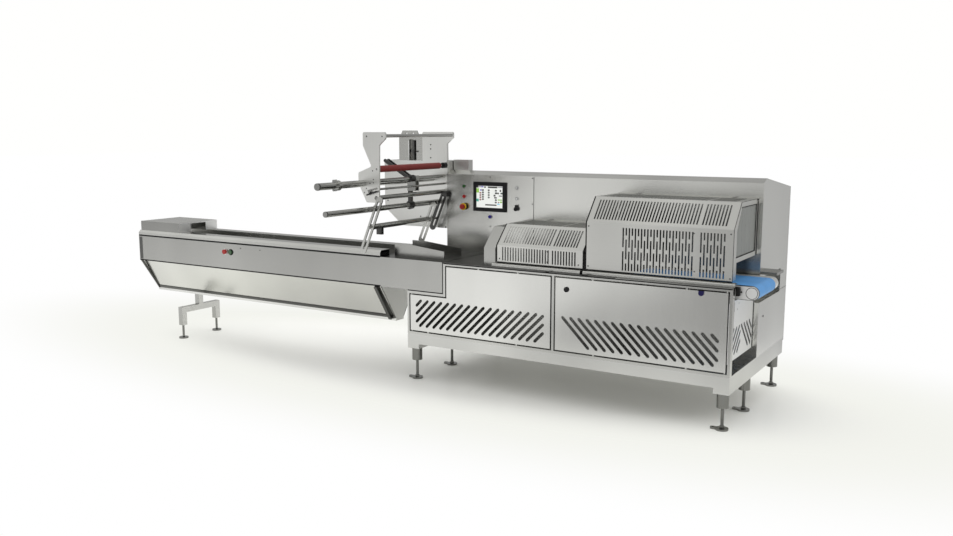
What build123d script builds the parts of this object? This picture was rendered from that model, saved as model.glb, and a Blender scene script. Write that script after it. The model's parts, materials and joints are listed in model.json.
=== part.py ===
"""Horizontal flow wrapper: infeed, film unwind, sealing cabinet with guards, and discharge belt.

Units are millimetres. X runs along the product flow, Y from front to back, Z up.
The origin is on the floor, at the middle of the machine's outline.
"""

import os
from math import atan2, cos, degrees, hypot, radians, sin

from build123d import *

os.makedirs("parts", exist_ok=True)

# Overall layout
INFEED_REACH = 3005.0
CABINET_LENGTH = 2423.0
BELT_REACH = 134.0
SPINDLE_REACH = 750.0
CABINET_DEPTH = 1335.0
BENCH_DEPTH = 600.0

# Heights: the base and deck above the floor, the wall above the deck, the film plates above the wall
BASE_BOTTOM = 238.0
BASE_HEIGHT = 111.0
DECK_HEIGHT = 905.0
WALL_TALL = 604.0
FILM_RISE = 326.0

# Sheet and play
SHEET = 2.5
PLATE = 4.0
RUNNING_PLAY = 0.05
SEAT_PLAY = 0.3

# Base frame and legs
BEAM_WIDTH = 100.0
BEAM_STEP = 36.0
BACK_INSET = 22.0
LEG_INSET = 50.0
MIDDLE_LEG_DEPTH = 525.0
REAR_LEG_INSET = 95.0
SLEEVE_RADIUS = 38.5
SLEEVE_LENGTH = 93.0
SCREW_RADIUS = 10.0
FOOT_RADIUS = 41.0
FOOT_HEIGHT = 12.0
NUT_RADIUS = 17.0
NUT_HEIGHT = 14.0
NUT_SIDES = 6
LUG_REACH = 58.0
LUG_WIDTH = 34.0
LUG_BORE_RADIUS = 6.5

# Front cabinet frame and doors
FRAME_BAR = 18.0
FRAME_DEPTH = 40.0
DOOR_GAP = 10.0
DOOR_DEPTH = 25.0
DOOR_PIN_RADIUS = 4.0
DOOR_PIN_INSET = 8.0
DOOR_PIN_REACH = 20.0
CENTRE_POST = 1200.0
NOTCH_LENGTH = 312.0
NOTCH_DROP = 225.0
NOTCH_GAP = 8.0
VENT_EDGE = 28.0
VENT_MARGIN = 45.0
VENT_WIDTH = 22.0
VENT_PITCH = 60.0
VENT_ANGLE = 45.0
LATCH_RADIUS = 18.0
LATCH_DROP = 107.0
LATCH_INSET = 82.0
SENSOR_RADIUS = 17.0
SENSOR_DROP = 14.0
SENSOR_INSET = 168.0
KNOB_PROUD = 7.0
END_PANEL_INSET = 33.0
END_PANEL_LIFT = 71.0
END_PANEL_DROP = 105.0
END_VENT_EDGE = 30.0
END_VENT_HEIGHT = 180.0
END_VENT_MARGIN = 18.0

# Guards
GUARD_SETBACK = 80.0
GUARD_LIFT = 30.0
GUARD_SLOPE_RUN = 140.0
HINGE_SETBACK = 18.0
HINGE_ROD_RADIUS = 6.0
HINGE_LUG_SIZE = 22.0
HINGE_LUG_INSET = 150.0
HINGE_CLEARANCE = 6.0
LARGE_INSET = 33.0
LARGE_LENGTH = 976.0
LARGE_FRONT_TALL = 315.0
LARGE_SLOPE_RISE = 160.0
LARGE_PLAIN = 258.0
GUARD_GAP = 28.0
SMALL_LENGTH = 659.0
SMALL_FRONT_TALL = 115.0
SMALL_SLOPE_RISE = 140.0
FIELD_MARGIN = 44.0
FIELD_BREAK = 34.0
LARGE_END_FIELD = 158.0
SMALL_END_FIELD = 180.0
SLOT_PITCH = 21.0
SLOT_WIDTH = 10.0
SLOT_BRIDGE = 26.0
MOUTH_TALL = 105.0
MOUTH_LEG = 77.0
WINDOW_MARGIN = 32.0
WINDOW_LAP = 9.0
HOOD_LENGTH = 92.0
HOOD_GAP = 17.0
HOOD_DROP = 25.0
RAIL_HEIGHT = 22.0
RAIL_SETBACK = 30.0

# Wall cabinet
WALL_OVERHANG = 40.0
RIDGE_RUN = 70.0
RIDGE_RISE = 29.0
ROOF_FALL = 86.0
SKIRT_DROP = 19.0
SKIRT_THICKNESS = 20.0
SEAM_PLACE = 735.0
SEAM_SIZE = 3.0
END_NOTCH_LENGTH = 150.0
END_NOTCH_DEPTH = 550.0
END_NOTCH_DROP = 20.0
END_NOTCH_TALL = 165.0
LEDGE_RISE = 25.0
LEDGE_REACH = 110.0
LEDGE_DEPTH = 170.0
LEDGE_THICKNESS = 18.0
ROOF_BOX_START = 5.0
ROOF_BOX_LENGTH = 140.0
ROOF_BOX_SETBACK = 90.0
ROOF_BOX_DEPTH = 60.0
ROOF_BOX_RISE = 108.0

# Operator panel, places from the cabinet's left side and down from the wall's top
SCREEN_START = 210.0
SCREEN_WIDTH = 293.0
SCREEN_DROP = 53.0
SCREEN_TALL = 226.0
SCREEN_PROUD = 14.0
SCREEN_BEZEL = 30.0
DISPLAY_RECESS = 3.0
LEFT_BUTTONS = 124.0
RIGHT_BUTTONS = 591.0
TOP_ROW_DROP = 91.0
MIDDLE_ROW_DROP = 171.0
LOW_ROW_DROP = 249.0
BLUE_BUTTON_PLACE = 358.0
BLUE_BUTTON_DROP = 319.0
LAMP_RADIUS = 13.0
LAMP_PROUD = 12.0
STOP_RADIUS = 20.0
COLLAR_RADIUS = 27.0
COLLAR_THICKNESS = 10.0
STOP_BASE_RADIUS = 22.0
STOP_BASE_LENGTH = 16.0
STOP_HEAD_LENGTH = 18.0
SELECTOR_RADIUS = 15.0
SELECTOR_PROUD = 24.0

# Discharge conveyor
DRUM_RADIUS = 45.0
BELT_THICKNESS = 3.0
BELT_RISE = 10.0
BELT_LENGTH = 800.0
BELT_SETBACK = 95.0
BELT_WIDTH = 375.0
CONVEYOR_PLATE = 12.0
CONVEYOR_BOX = 95.0
PLATE_DROP = 5.0

# Film unit, places from the cabinet's left side and from the top of the film plates
FILM_FRONT_REACH = 256.0
FILM_PLATE = 12.0
REAR_PLATE = 20.0
REAR_SETBACK = 22.0
REAR_INSET = 11.0
HOUSING_DEPTH = 250.0
FILM_CORNER = 14.0
PLATE_EDGE = 16.0
HORN = (13.0, -45.0)
NECK = (-43.0, -92.0)
HEAD_LEFT = -190.0
HEAD_DROP = -95.0
WAIST = (-116.0, -242.0)
LOBE_TOP = 78.0
FOOT_LEFT = -164.0
TIE_ROD = (-10.0, -26.0)
TIE_ROD_RADIUS = 12.0
RED_ROLLER = (-70.0, -260.0)
RED_ROLLER_RADIUS = 24.0
RED_AXLE_RADIUS = 8.0
RED_ROLLER_END = 90.0
RED_CONE = 22.0
SPINDLE = (-195.0, -365.0)
SPINDLE_RADIUS = 24.5
SPINDLE_JOURNAL = 15.0
CHUCK_RADIUS = 36.0
CHUCK_LENGTH = 34.0
CHUCK_PLACE = 190.0
CHUCK_EARS = 3
EAR_RADIUS = 9.0
UPPER_BAR = (-84.0, -345.0)
UPPER_BAR_RADIUS = 15.0
THIN_BAR = (-68.0, -403.0)
THIN_BAR_RADIUS = 8.0
LOWER_BAR = (-85.0, -466.0)
LOWER_BAR_RADIUS = 17.0
LOWER_SHAFT = (-128.0, -548.0)
LOWER_SHAFT_RADIUS = 20.0
CROSS_ROLLER = (-125.0, -675.0)
CROSS_ROLLER_RADIUS = 20.0
CROSS_AXLE_RADIUS = 9.0
CROSS_AXLE_REACH = 34.0
ARM_WIDTH = 52.0
ARM_THICKNESS = 10.0
ARM_REAR_GAP = 62.0
ARM_SLOT_MARGIN = 34.0
ARM_LEAN = 67.0
FRONT_ARM = (212.0, 185.0)
REAR_ARM = (206.0, 76.0)
GUIDE_ARM_ABOVE = 120.0
GUIDE_ARM_GAP = 97.0
GUIDE_ARM_LIFT = 14.0
CLIP_PLACE = 88.0
CLIP_WIDTH = 24.0
CLIP_TALL = 62.0
BEARING_RADIUS = 22.0
BEARING_LENGTH = 40.0
DANCER_PLACE = 400.0
DANCER_BAR = 10.0
DANCER_GAP = 30.0
DANCER_HUB_RADIUS = 27.0
DANCER_WIDTH = 26.0
DANCER_TIP = (-310.0, -215.0)
BRACKET_REACH = (55.0, 20.0)
BRACKET_TALL = 95.0
BRACKET_PLATE = 9.0
LINK_TOP = -425.0
LINK_CLAMP_RADIUS = 33.0
TOWER_START = -519.0
TOWER_LENGTH = 230.0
TOWER_DEPTH = 190.0
TOWER_TOP = -35.0
TOWER_SLOT_PLACE = 102.0
TOWER_SLOT_WIDTH = 69.0
TOWER_SLOT_TALL = 170.0
TOWER_SLOT_DEPTH = 30.0
CAP_PLACE = 12.0
CAP_LENGTH = 187.0
CAP_TALL = 46.0
CAP_TAPER = 24.0
CAP_HOLE_RADIUS = 8.0
HOUSING_TOP = -228.0
HOUSING_LEFT = -670.0
HOUSING_SHOULDER = -615.0
HOUSING_TOE = -494.0
HOUSING_BOTTOM = -758.0

# Infeed
INFEED_WIDTH = 480.0
TROUGH_DROP = 25.0
INFEED_END = -250.0
RAIL_RISE = 48.0
RAIL_GAP = 7.0
RAIL_WIDTH = 118.0
RAIL_CHAMFER = 18.0
PAN_BOTTOM = 380.0
PAN_FOOT_WIDTH = 72.0
PAN_RECESS = 30.0
PAN_FLANGE = 8.0
PAN_LIP = 14.0
PAN_LIP_TALL = 20.0
TAIL_START = 15.0
TAIL_LENGTH = 500.0
TAIL_INSET = 20.0
TAIL_TALL = 82.0
TAIL_WINDOW_WIDTH = 172.0
TAIL_WINDOW_TALL = 72.0
TAIL_WINDOW_DEPTH = 180.0
INFEED_STOP_PLACE = 1105.0
INFEED_START_PLACE = 1170.0
INFEED_BUTTON_DROP = 75.0
STAND_PLACE = 483.0
STAND_SPAN = 388.0
STAND_TUBE = 50.0
STAND_LEG_BOTTOM = 120.0
STAND_BAR_TOP = 283.0

# Forming box
FORMER_START = -200.0
FORMER_LENGTH = 450.0
FORMER_TALL = 95.0
FORMER_LOW = 60.0
FORMER_SETBACK = 120.0
FORMER_SPAN = 230.0
FORMER_PLATE = 6.0

# Places that follow from the sizes above
TOTAL_LENGTH = INFEED_REACH + CABINET_LENGTH + BELT_REACH
TOTAL_DEPTH = SPINDLE_REACH + CABINET_DEPTH
LEFT = -TOTAL_LENGTH / 2 + INFEED_REACH
RIGHT = LEFT + CABINET_LENGTH
FRONT = -TOTAL_DEPTH / 2 + SPINDLE_REACH
BACK = FRONT + CABINET_DEPTH
WALL = FRONT + BENCH_DEPTH
BASE_TOP = BASE_BOTTOM + BASE_HEIGHT
DECK_UNDER = DECK_HEIGHT - PLATE
WALL_HEIGHT = DECK_HEIGHT + WALL_TALL
FILM_HEIGHT = WALL_HEIGHT + FILM_RISE
NOTCH_HEIGHT = DECK_HEIGHT - NOTCH_DROP
GUARD_BOTTOM = DECK_HEIGHT + GUARD_LIFT
LARGE_FOLD = GUARD_BOTTOM + LARGE_FRONT_TALL
LARGE_TOP = LARGE_FOLD + LARGE_SLOPE_RISE
SMALL_FOLD = GUARD_BOTTOM + SMALL_FRONT_TALL
SMALL_TOP = SMALL_FOLD + SMALL_SLOPE_RISE
MOUTH_TOP = GUARD_BOTTOM + MOUTH_TALL
INFEED_BODY_TOP = DECK_HEIGHT - TROUGH_DROP
RAIL_TOP = DECK_HEIGHT + RAIL_RISE
INFEED_LEFT = -TOTAL_LENGTH / 2
INFEED_RIGHT = LEFT + NOTCH_LENGTH
INFEED_MIDDLE = FRONT + INFEED_WIDTH / 2
INFEED_BACK = FRONT + INFEED_WIDTH
NOTCH_POST = INFEED_RIGHT + NOTCH_GAP
NOTCH_RAIL_TOP = NOTCH_HEIGHT - NOTCH_GAP
HINGE_LINE = WALL - HINGE_SETBACK
LARGE_X = (RIGHT - LARGE_INSET - LARGE_LENGTH, RIGHT - LARGE_INSET)
SMALL_X = (LARGE_X[0] - GUARD_GAP - SMALL_LENGTH, LARGE_X[0] - GUARD_GAP)
FILM_FRONT = FRONT - FILM_FRONT_REACH
FILM_INNER = FILM_FRONT + FILM_PLATE
FILM_REAR = WALL + REAR_SETBACK
HOUSING_FRONT = FILM_REAR + REAR_PLATE
SPINDLE_TIP = -TOTAL_DEPTH / 2
LEG_PLACES = [
    (x, FRONT + y)
    for x in (LEFT + LEG_INSET, RIGHT - LEG_INSET)
    for y in (LEG_INSET, MIDDLE_LEG_DEPTH, CABINET_DEPTH - REAR_LEG_INSET)
]


def save(piece, name):
    """Label a finished piece and write its file."""
    piece.part.label = name
    export_step(piece.part, f"parts/{name}.step")


def block(x_span, y_span, z_span, mode=Mode.ADD):
    """Add or cut a box between two corners in the part that is being built."""
    spans = (x_span, y_span, z_span)
    with Locations(tuple((low + high) / 2 for low, high in spans)):
        Box(*(high - low for low, high in spans), mode=mode)


def rod(x, z, y_span, radius, mode=Mode.ADD):
    """Add or cut a round bar that runs from front to back."""
    low, high = y_span
    with Locations(Location((x, (low + high) / 2, z), (90, 0, 0))):
        Cylinder(radius, high - low, mode=mode)


def film_place(offset):
    """Turn an offset from the film plates' top corner into X and Z."""
    return LEFT + offset[0], FILM_HEIGHT + offset[1]


def outline(plane, points, corner=0.0):
    """Draw a closed outline on a plane, with its corners rounded where asked."""
    with BuildSketch(plane, mode=Mode.PRIVATE) as face:
        with BuildLine():
            Polyline(*points, close=True)
        make_face()
        if corner:
            fillet(face.vertices(), corner)
    return face.sketch


def plate_xz(points, y_span, corner=0.0, mode=Mode.ADD):
    """Add or cut a flat plate, drawn in X and Z, between two depths."""
    sketch = outline(Plane.XZ.offset(-y_span[0]), points, corner)
    extrude(sketch, amount=y_span[0] - y_span[1], mode=mode)


def plate_yz(points, x_span, corner=0.0, mode=Mode.ADD):
    """Add or cut a flat plate, drawn in Y and Z, between two stations along the flow."""
    sketch = outline(Plane.YZ.offset(x_span[0]), points, corner)
    extrude(sketch, amount=x_span[1] - x_span[0], mode=mode)


def inner_line(points, thickness):
    """Offset an open sheet outline inwards, with mitred folds."""
    edges = [(b[0] - a[0], b[1] - a[1]) for a, b in zip(points, points[1:])]
    normals = [(dz / hypot(dy, dz), -dy / hypot(dy, dz)) for dy, dz in edges]
    pairs = [(normals[0], normals[0])] + list(zip(normals, normals[1:])) + [(normals[-1], normals[-1])]
    result = []
    for (y, z), (first, second) in zip(points, pairs):
        share = thickness / (1 + first[0] * second[0] + first[1] * second[1])
        result.append((y + share * (first[0] + second[0]), z + share * (first[1] + second[1])))
    return result


def guard_outline(fold, top):
    """Outer line of a guard's folded sheet, from its front edge up and back to the hinge."""
    front = FRONT + GUARD_SETBACK
    return [
        (front, GUARD_BOTTOM),
        (front, fold),
        (front + GUARD_SLOPE_RUN, top),
        (HINGE_LINE, top),
    ]


def strip(points, index, x_span):
    """Add one flat face of a folded sheet."""
    inner = inner_line(points, SHEET)
    plate_yz([points[index], points[index + 1], inner[index + 1], inner[index]], x_span)


def face_plane(points, index, start):
    """Plane on the outside of one face of a folded sheet, Y running up the face."""
    (y0, z0), (y1, z1) = points[index], points[index + 1]
    return Plane(origin=(start, y0, z0), x_dir=(1, 0, 0), z_dir=(0, z0 - z1, y1 - y0))


def columns(span):
    """Evenly pitched places of the slots that fit in a span."""
    count = int((span[1] - span[0]) // SLOT_PITCH) + 1
    return [span[0] + i * SLOT_PITCH for i in range(count)]


def cut_slots(plane, fields, rise, staggered=False):
    """Cut columns of upright slots through a sheet, broken by bridges where asked."""
    low, high = rise
    tall = high - low
    runs = [[(0.0, 1.0)], [(0.0, 1.0)]]
    if staggered:
        runs = [[(0.0, 0.5), (0.5, 1.0)], [(0.0, 0.22), (0.22, 0.78), (0.78, 1.0)]]
    with BuildSketch(plane, mode=Mode.PRIVATE) as slots:
        for field in fields:
            for number, x in enumerate(columns(field)):
                for start, end in runs[number % 2]:
                    bottom = low + start * tall + (SLOT_BRIDGE / 2 if start > 0 else 0)
                    top = low + end * tall - (SLOT_BRIDGE / 2 if end < 1 else 0)
                    with Locations((x, (bottom + top) / 2)):
                        Rectangle(SLOT_WIDTH, top - bottom)
    extrude(slots.sketch, amount=-2 * SHEET, mode=Mode.SUBTRACT)


def vent_slots(plane, width, tall, angle):
    """Slanting slots with blunt round ends, clipped to a rectangle that starts at the plane's origin."""
    end = [(VENT_WIDTH / 2 * cos(radians(turn)), VENT_WIDTH / 2 * sin(radians(turn)))
           for turn in (-90, -30, 30, 90)]
    with BuildSketch(plane, mode=Mode.PRIVATE) as vents:
        count = int((width + tall) // VENT_PITCH)
        shift = 0 if angle > 0 else tall
        for number in range(count + 1):
            middle = number * VENT_PITCH + shift - tall / 2
            low = max(0.0, middle - tall / 2)
            high = min(width, middle + tall / 2)
            length = high - low - VENT_WIDTH
            if length < VENT_WIDTH:
                continue
            x = (low + high) / 2
            y = tall / 2 + (x - middle) * (1 if angle > 0 else -1)
            half = length / 2 ** 0.5
            right = [(half + along, across) for along, across in end]
            with Locations(Location((x, y, 0), (0, 0, angle))):
                Polygon(*right, *[(-along, -across) for along, across in right], align=None)
    return vents.sketch


# Base beams
with BuildPart() as base_long_beams:
    for y in (FRONT, BACK - BACK_INSET - BEAM_WIDTH):
        block((LEFT + BEAM_WIDTH, RIGHT - BEAM_WIDTH), (y, y + BEAM_WIDTH),
              (BASE_BOTTOM + BEAM_STEP, BASE_TOP))
save(base_long_beams, "base_long_beams")

with BuildPart() as base_cross_beams:
    for x in (LEFT, RIGHT - BEAM_WIDTH):
        block((x, x + BEAM_WIDTH), (FRONT, BACK - BACK_INSET), (BASE_BOTTOM, BASE_TOP))
save(base_cross_beams, "base_cross_beams")

# Levelling legs: sleeve, screw, nut and a foot with a bolt-down lug
with BuildPart() as levelling_legs:
    for x, y in LEG_PLACES:
        with Locations((x, y, 0)):
            Cylinder(FOOT_RADIUS, FOOT_HEIGHT, align=(Align.CENTER, Align.CENTER, Align.MIN))
        with BuildSketch(Plane.XY) as lug:
            with Locations((x - LUG_REACH / 2, y)):
                Rectangle(LUG_REACH, LUG_WIDTH)
            with Locations((x - LUG_REACH, y)):
                Circle(LUG_WIDTH / 2)
                Circle(LUG_BORE_RADIUS, mode=Mode.SUBTRACT)
        extrude(amount=FOOT_HEIGHT)
        with BuildSketch(Plane.XY.offset(FOOT_HEIGHT)):
            with Locations((x, y)):
                RegularPolygon(NUT_RADIUS, NUT_SIDES)
        extrude(amount=NUT_HEIGHT)
        with Locations((x, y, FOOT_HEIGHT)):
            Cylinder(SCREW_RADIUS, BASE_BOTTOM - SLEEVE_LENGTH - FOOT_HEIGHT,
                     align=(Align.CENTER, Align.CENTER, Align.MIN))
        with Locations((x, y, BASE_BOTTOM - SLEEVE_LENGTH)):
            Cylinder(SLEEVE_RADIUS, SLEEVE_LENGTH, align=(Align.CENTER, Align.CENTER, Align.MIN))
save(levelling_legs, "levelling_legs")

# Front cabinet frame
FRAME_Y = (FRONT, FRONT + FRAME_DEPTH)
CENTRE_LEFT = LEFT + CENTRE_POST
RAIL_LOW = (BASE_TOP, BASE_TOP + FRAME_BAR)
RAIL_HIGH = (DECK_UNDER - FRAME_BAR, DECK_UNDER)
RAIL_NOTCH = (NOTCH_RAIL_TOP - FRAME_BAR, NOTCH_RAIL_TOP)
LEFT_PIN = LEFT + FRAME_BAR + DOOR_GAP + DOOR_PIN_INSET
RIGHT_PIN = RIGHT - FRAME_BAR - DOOR_GAP - DOOR_PIN_INSET
PIN_Y = FRONT + DOOR_PIN_INSET


def pin_hole(x, z_span):
    """Bore a rail for a door's pivot pin."""
    with Locations((x, PIN_Y, (z_span[0] + z_span[1]) / 2)):
        Cylinder(DOOR_PIN_RADIUS + RUNNING_PLAY, z_span[1] - z_span[0], mode=Mode.SUBTRACT)


with BuildPart() as cabinet_rails:
    block((LEFT, RIGHT), FRAME_Y, RAIL_LOW)
    block((NOTCH_POST, RIGHT), FRAME_Y, RAIL_HIGH)
    block((LEFT, NOTCH_POST + FRAME_BAR), FRAME_Y, RAIL_NOTCH)
    pin_hole(LEFT_PIN, RAIL_LOW)
    pin_hole(LEFT_PIN, RAIL_NOTCH)
    pin_hole(RIGHT_PIN, RAIL_LOW)
    pin_hole(RIGHT_PIN, RAIL_HIGH)
save(cabinet_rails, "cabinet_rails")

with BuildPart() as cabinet_posts:
    block((LEFT, LEFT + FRAME_BAR), FRAME_Y, (RAIL_LOW[1], RAIL_NOTCH[0]))
    block((NOTCH_POST, NOTCH_POST + FRAME_BAR), FRAME_Y, (RAIL_NOTCH[1], RAIL_HIGH[0]))
    block((CENTRE_LEFT, CENTRE_LEFT + FRAME_BAR), FRAME_Y, (RAIL_LOW[1], RAIL_HIGH[0]))
    block((RIGHT - FRAME_BAR, RIGHT), FRAME_Y, (RAIL_LOW[1], RAIL_HIGH[0]))
save(cabinet_posts, "cabinet_posts")

with BuildPart() as cabinet_floor:
    block((LEFT, RIGHT), (FRAME_Y[1], WALL), (BASE_TOP, BASE_TOP + PLATE))
save(cabinet_floor, "cabinet_floor")

with BuildPart() as cabinet_left_end:
    block((LEFT, LEFT + SHEET), (FRAME_Y[1], WALL), (BASE_TOP + PLATE, NOTCH_RAIL_TOP))
save(cabinet_left_end, "cabinet_left_end")

# Right end of the cabinet, with two fields of vents that lean together
with BuildPart() as cabinet_right_end:
    panel_x = RIGHT - END_PANEL_INSET
    panel_bottom = BASE_TOP + END_PANEL_LIFT
    block((panel_x - SHEET, panel_x), (FRAME_Y[1], WALL), (panel_bottom, DECK_HEIGHT - END_PANEL_DROP))
    middle = (FRAME_Y[1] + WALL) / 2
    half = middle - FRAME_Y[1] - END_VENT_MARGIN
    for start, lean in ((middle - half, VENT_ANGLE), (middle, -VENT_ANGLE)):
        corner = (panel_x, start, panel_bottom + END_VENT_EDGE)
        end_plane = Plane(origin=corner, x_dir=(0, 1, 0), z_dir=(1, 0, 0))
        extrude(vent_slots(end_plane, half, END_VENT_HEIGHT, lean), amount=-2 * SHEET, mode=Mode.SUBTRACT)
save(cabinet_right_end, "cabinet_right_end")

# Deck, the strips beside the belt and the ledge past the wall's end
BELT_FRONT = FRONT + BELT_SETBACK
BELT_BACK = BELT_FRONT + BELT_WIDTH
HEAD_X = RIGHT + BELT_REACH - DRUM_RADIUS
TAIL_X = HEAD_X - BELT_LENGTH
DECK_END = TAIL_X - DRUM_RADIUS - DOOR_GAP

with BuildPart() as deck_plate:
    block((NOTCH_POST, DECK_END), (FRONT, WALL), (DECK_UNDER, DECK_HEIGHT))
save(deck_plate, "deck_plate")

with BuildPart() as deck_side_strips:
    block((DECK_END, RIGHT), (FRONT, BELT_FRONT - CONVEYOR_PLATE), (DECK_UNDER, DECK_HEIGHT))
    block((DECK_END, RIGHT), (BELT_BACK + CONVEYOR_BOX, WALL), (DECK_UNDER, DECK_HEIGHT))
    ledge_top = DECK_HEIGHT + LEDGE_RISE
    block((RIGHT, RIGHT + LEDGE_REACH), (WALL, WALL + LEDGE_DEPTH), (ledge_top - LEDGE_THICKNESS, ledge_top))
save(deck_side_strips, "deck_side_strips")

# Rails under the front edges of the two guards
with BuildPart() as guard_rails:
    rail_y = (FRONT + RAIL_SETBACK, BELT_FRONT - CONVEYOR_PLATE)
    rail_z = (DECK_HEIGHT, DECK_HEIGHT + RAIL_HEIGHT)
    split = (SMALL_X[1] + LARGE_X[0]) / 2
    block((SMALL_X[0] - HOOD_GAP, split - DOOR_GAP), rail_y, rail_z)
    block((split + DOOR_GAP, RIGHT), rail_y, rail_z)
    edges = guard_rails.edges().filter_by(Axis.X).group_by(Axis.Z)[-1].group_by(Axis.Y)[0]
    fillet(edges, RAIL_HEIGHT / 2)
save(guard_rails, "guard_rails")

# Wall cabinet with its sloping roof, the skirt at the back and the notch at the discharge end
ROOF_BACK = WALL_HEIGHT + RIDGE_RISE - ROOF_FALL
WALL_LEFT = LEFT - WALL_OVERHANG
with BuildPart() as wall_cabinet:
    plate_yz([
        (WALL, BASE_TOP),
        (WALL, WALL_HEIGHT),
        (WALL + RIDGE_RUN, WALL_HEIGHT + RIDGE_RISE),
        (BACK, ROOF_BACK),
        (BACK, BASE_TOP - SKIRT_DROP),
        (BACK - SKIRT_THICKNESS, BASE_TOP - SKIRT_DROP),
        (BACK - SKIRT_THICKNESS, BASE_TOP),
    ], (WALL_LEFT, RIGHT))
    notch_top = DECK_HEIGHT - END_NOTCH_DROP
    block((RIGHT - END_NOTCH_LENGTH, RIGHT + PLATE), (WALL - PLATE, WALL + END_NOTCH_DEPTH),
          (notch_top - END_NOTCH_TALL, notch_top), mode=Mode.SUBTRACT)
    seam = LEFT + SEAM_PLACE
    block((seam, seam + SEAM_SIZE), (WALL - SEAM_SIZE, WALL + SEAM_SIZE), (DECK_HEIGHT, WALL_HEIGHT),
          mode=Mode.SUBTRACT)
save(wall_cabinet, "wall_cabinet")


def roof_at(y):
    """Height of the roof at a given depth behind its ridge."""
    run = (y - WALL - RIDGE_RUN) / (BACK - WALL - RIDGE_RUN)
    return WALL_HEIGHT + RIDGE_RISE - ROOF_FALL * run


with BuildPart() as roof_box:
    box_front = WALL + ROOF_BOX_SETBACK
    box_back = box_front + ROOF_BOX_DEPTH
    box_top = WALL_HEIGHT + ROOF_BOX_RISE
    plate_yz([
        (box_front, roof_at(box_front)),
        (box_front, box_top),
        (box_back, box_top),
        (box_back, roof_at(box_back)),
    ], (WALL_LEFT + ROOF_BOX_START, WALL_LEFT + ROOF_BOX_START + ROOF_BOX_LENGTH))
save(roof_box, "roof_box")

# Touch screen: a black bezel with the display set into it
SCREEN_X = (LEFT + SCREEN_START, LEFT + SCREEN_START + SCREEN_WIDTH)
SCREEN_Z = (WALL_HEIGHT - SCREEN_DROP - SCREEN_TALL, WALL_HEIGHT - SCREEN_DROP)
DISPLAY_X = (SCREEN_X[0] + SCREEN_BEZEL, SCREEN_X[1] - SCREEN_BEZEL)
DISPLAY_Z = (SCREEN_Z[0] + SCREEN_BEZEL, SCREEN_Z[1] - SCREEN_BEZEL)
with BuildPart() as touch_screen:
    block(SCREEN_X, (WALL - SCREEN_PROUD, WALL), SCREEN_Z)
    chamfer(touch_screen.faces().sort_by(Axis.Y)[0].edges(), DISPLAY_RECESS)
    block(DISPLAY_X, (WALL - SCREEN_PROUD, WALL - SHEET), DISPLAY_Z, mode=Mode.SUBTRACT)
save(touch_screen, "touch_screen")

with BuildPart() as touch_display:
    block(DISPLAY_X, (WALL - SCREEN_PROUD + DISPLAY_RECESS, WALL - SHEET), DISPLAY_Z)
save(touch_display, "touch_display")


def round_button(x, z, back, radius, proud):
    """Add a round push button that stands out of a front face."""
    with BuildSketch(Plane.XZ.offset(-back), mode=Mode.PRIVATE) as disc:
        with Locations((x, z)):
            Circle(radius)
    extrude(disc.sketch, amount=proud)


# Push buttons, lamps and the stop button, by colour
LEFT_COLUMN = LEFT + LEFT_BUTTONS
RIGHT_COLUMN = LEFT + RIGHT_BUTTONS
BUTTON_TOP_ROW = WALL_HEIGHT - TOP_ROW_DROP
BUTTON_MIDDLE_ROW = WALL_HEIGHT - MIDDLE_ROW_DROP
BUTTON_LOW_ROW = WALL_HEIGHT - LOW_ROW_DROP
STOP_FACE = WALL - STOP_BASE_LENGTH
INFEED_BUTTON_HEIGHT = DECK_HEIGHT - INFEED_BUTTON_DROP
INFEED_STOP = INFEED_LEFT + INFEED_STOP_PLACE
INFEED_START = INFEED_LEFT + INFEED_START_PLACE

with BuildPart() as green_buttons:
    round_button(LEFT_COLUMN, BUTTON_TOP_ROW, WALL, LAMP_RADIUS, LAMP_PROUD)
    round_button(INFEED_START, INFEED_BUTTON_HEIGHT, FRONT, STOP_RADIUS, LAMP_PROUD)
save(green_buttons, "green_buttons")

with BuildPart() as red_buttons:
    round_button(LEFT_COLUMN, BUTTON_MIDDLE_ROW, WALL, LAMP_RADIUS, LAMP_PROUD)
    round_button(LEFT_COLUMN, BUTTON_LOW_ROW, STOP_FACE - COLLAR_THICKNESS, STOP_RADIUS, STOP_HEAD_LENGTH)
    round_button(INFEED_STOP, INFEED_BUTTON_HEIGHT, FRONT, STOP_RADIUS, STOP_HEAD_LENGTH)
save(red_buttons, "red_buttons")

with BuildPart() as stop_collar:
    round_button(LEFT_COLUMN, BUTTON_LOW_ROW, STOP_FACE, COLLAR_RADIUS, COLLAR_THICKNESS)
save(stop_collar, "stop_collar")

with BuildPart() as black_controls:
    round_button(LEFT_COLUMN, BUTTON_LOW_ROW, WALL, STOP_BASE_RADIUS, STOP_BASE_LENGTH)
    round_button(RIGHT_COLUMN, BUTTON_LOW_ROW, WALL, SELECTOR_RADIUS, SELECTOR_PROUD)
save(black_controls, "black_controls")

with BuildPart() as blue_button:
    round_button(LEFT + BLUE_BUTTON_PLACE, WALL_HEIGHT - BLUE_BUTTON_DROP, WALL, LAMP_RADIUS, LAMP_PROUD)
save(blue_button, "blue_button")

with BuildPart() as chrome_buttons:
    for row in (BUTTON_TOP_ROW, BUTTON_MIDDLE_ROW):
        round_button(RIGHT_COLUMN, row, WALL, LAMP_RADIUS, LAMP_PROUD / 2)
save(chrome_buttons, "chrome_buttons")

# Discharge conveyor
DRUM_Z = DECK_HEIGHT + BELT_RISE - DRUM_RADIUS
BELT_MIDDLE = (HEAD_X + TAIL_X) / 2


def stadium(y, radius):
    """Round-ended outline of the conveyor, seen from the front."""
    with BuildSketch(Plane.XZ.offset(-y), mode=Mode.PRIVATE) as loop:
        with Locations((BELT_MIDDLE, DRUM_Z)):
            SlotCenterToCenter(HEAD_X - TAIL_X, 2 * radius)
    return loop.sketch


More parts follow.
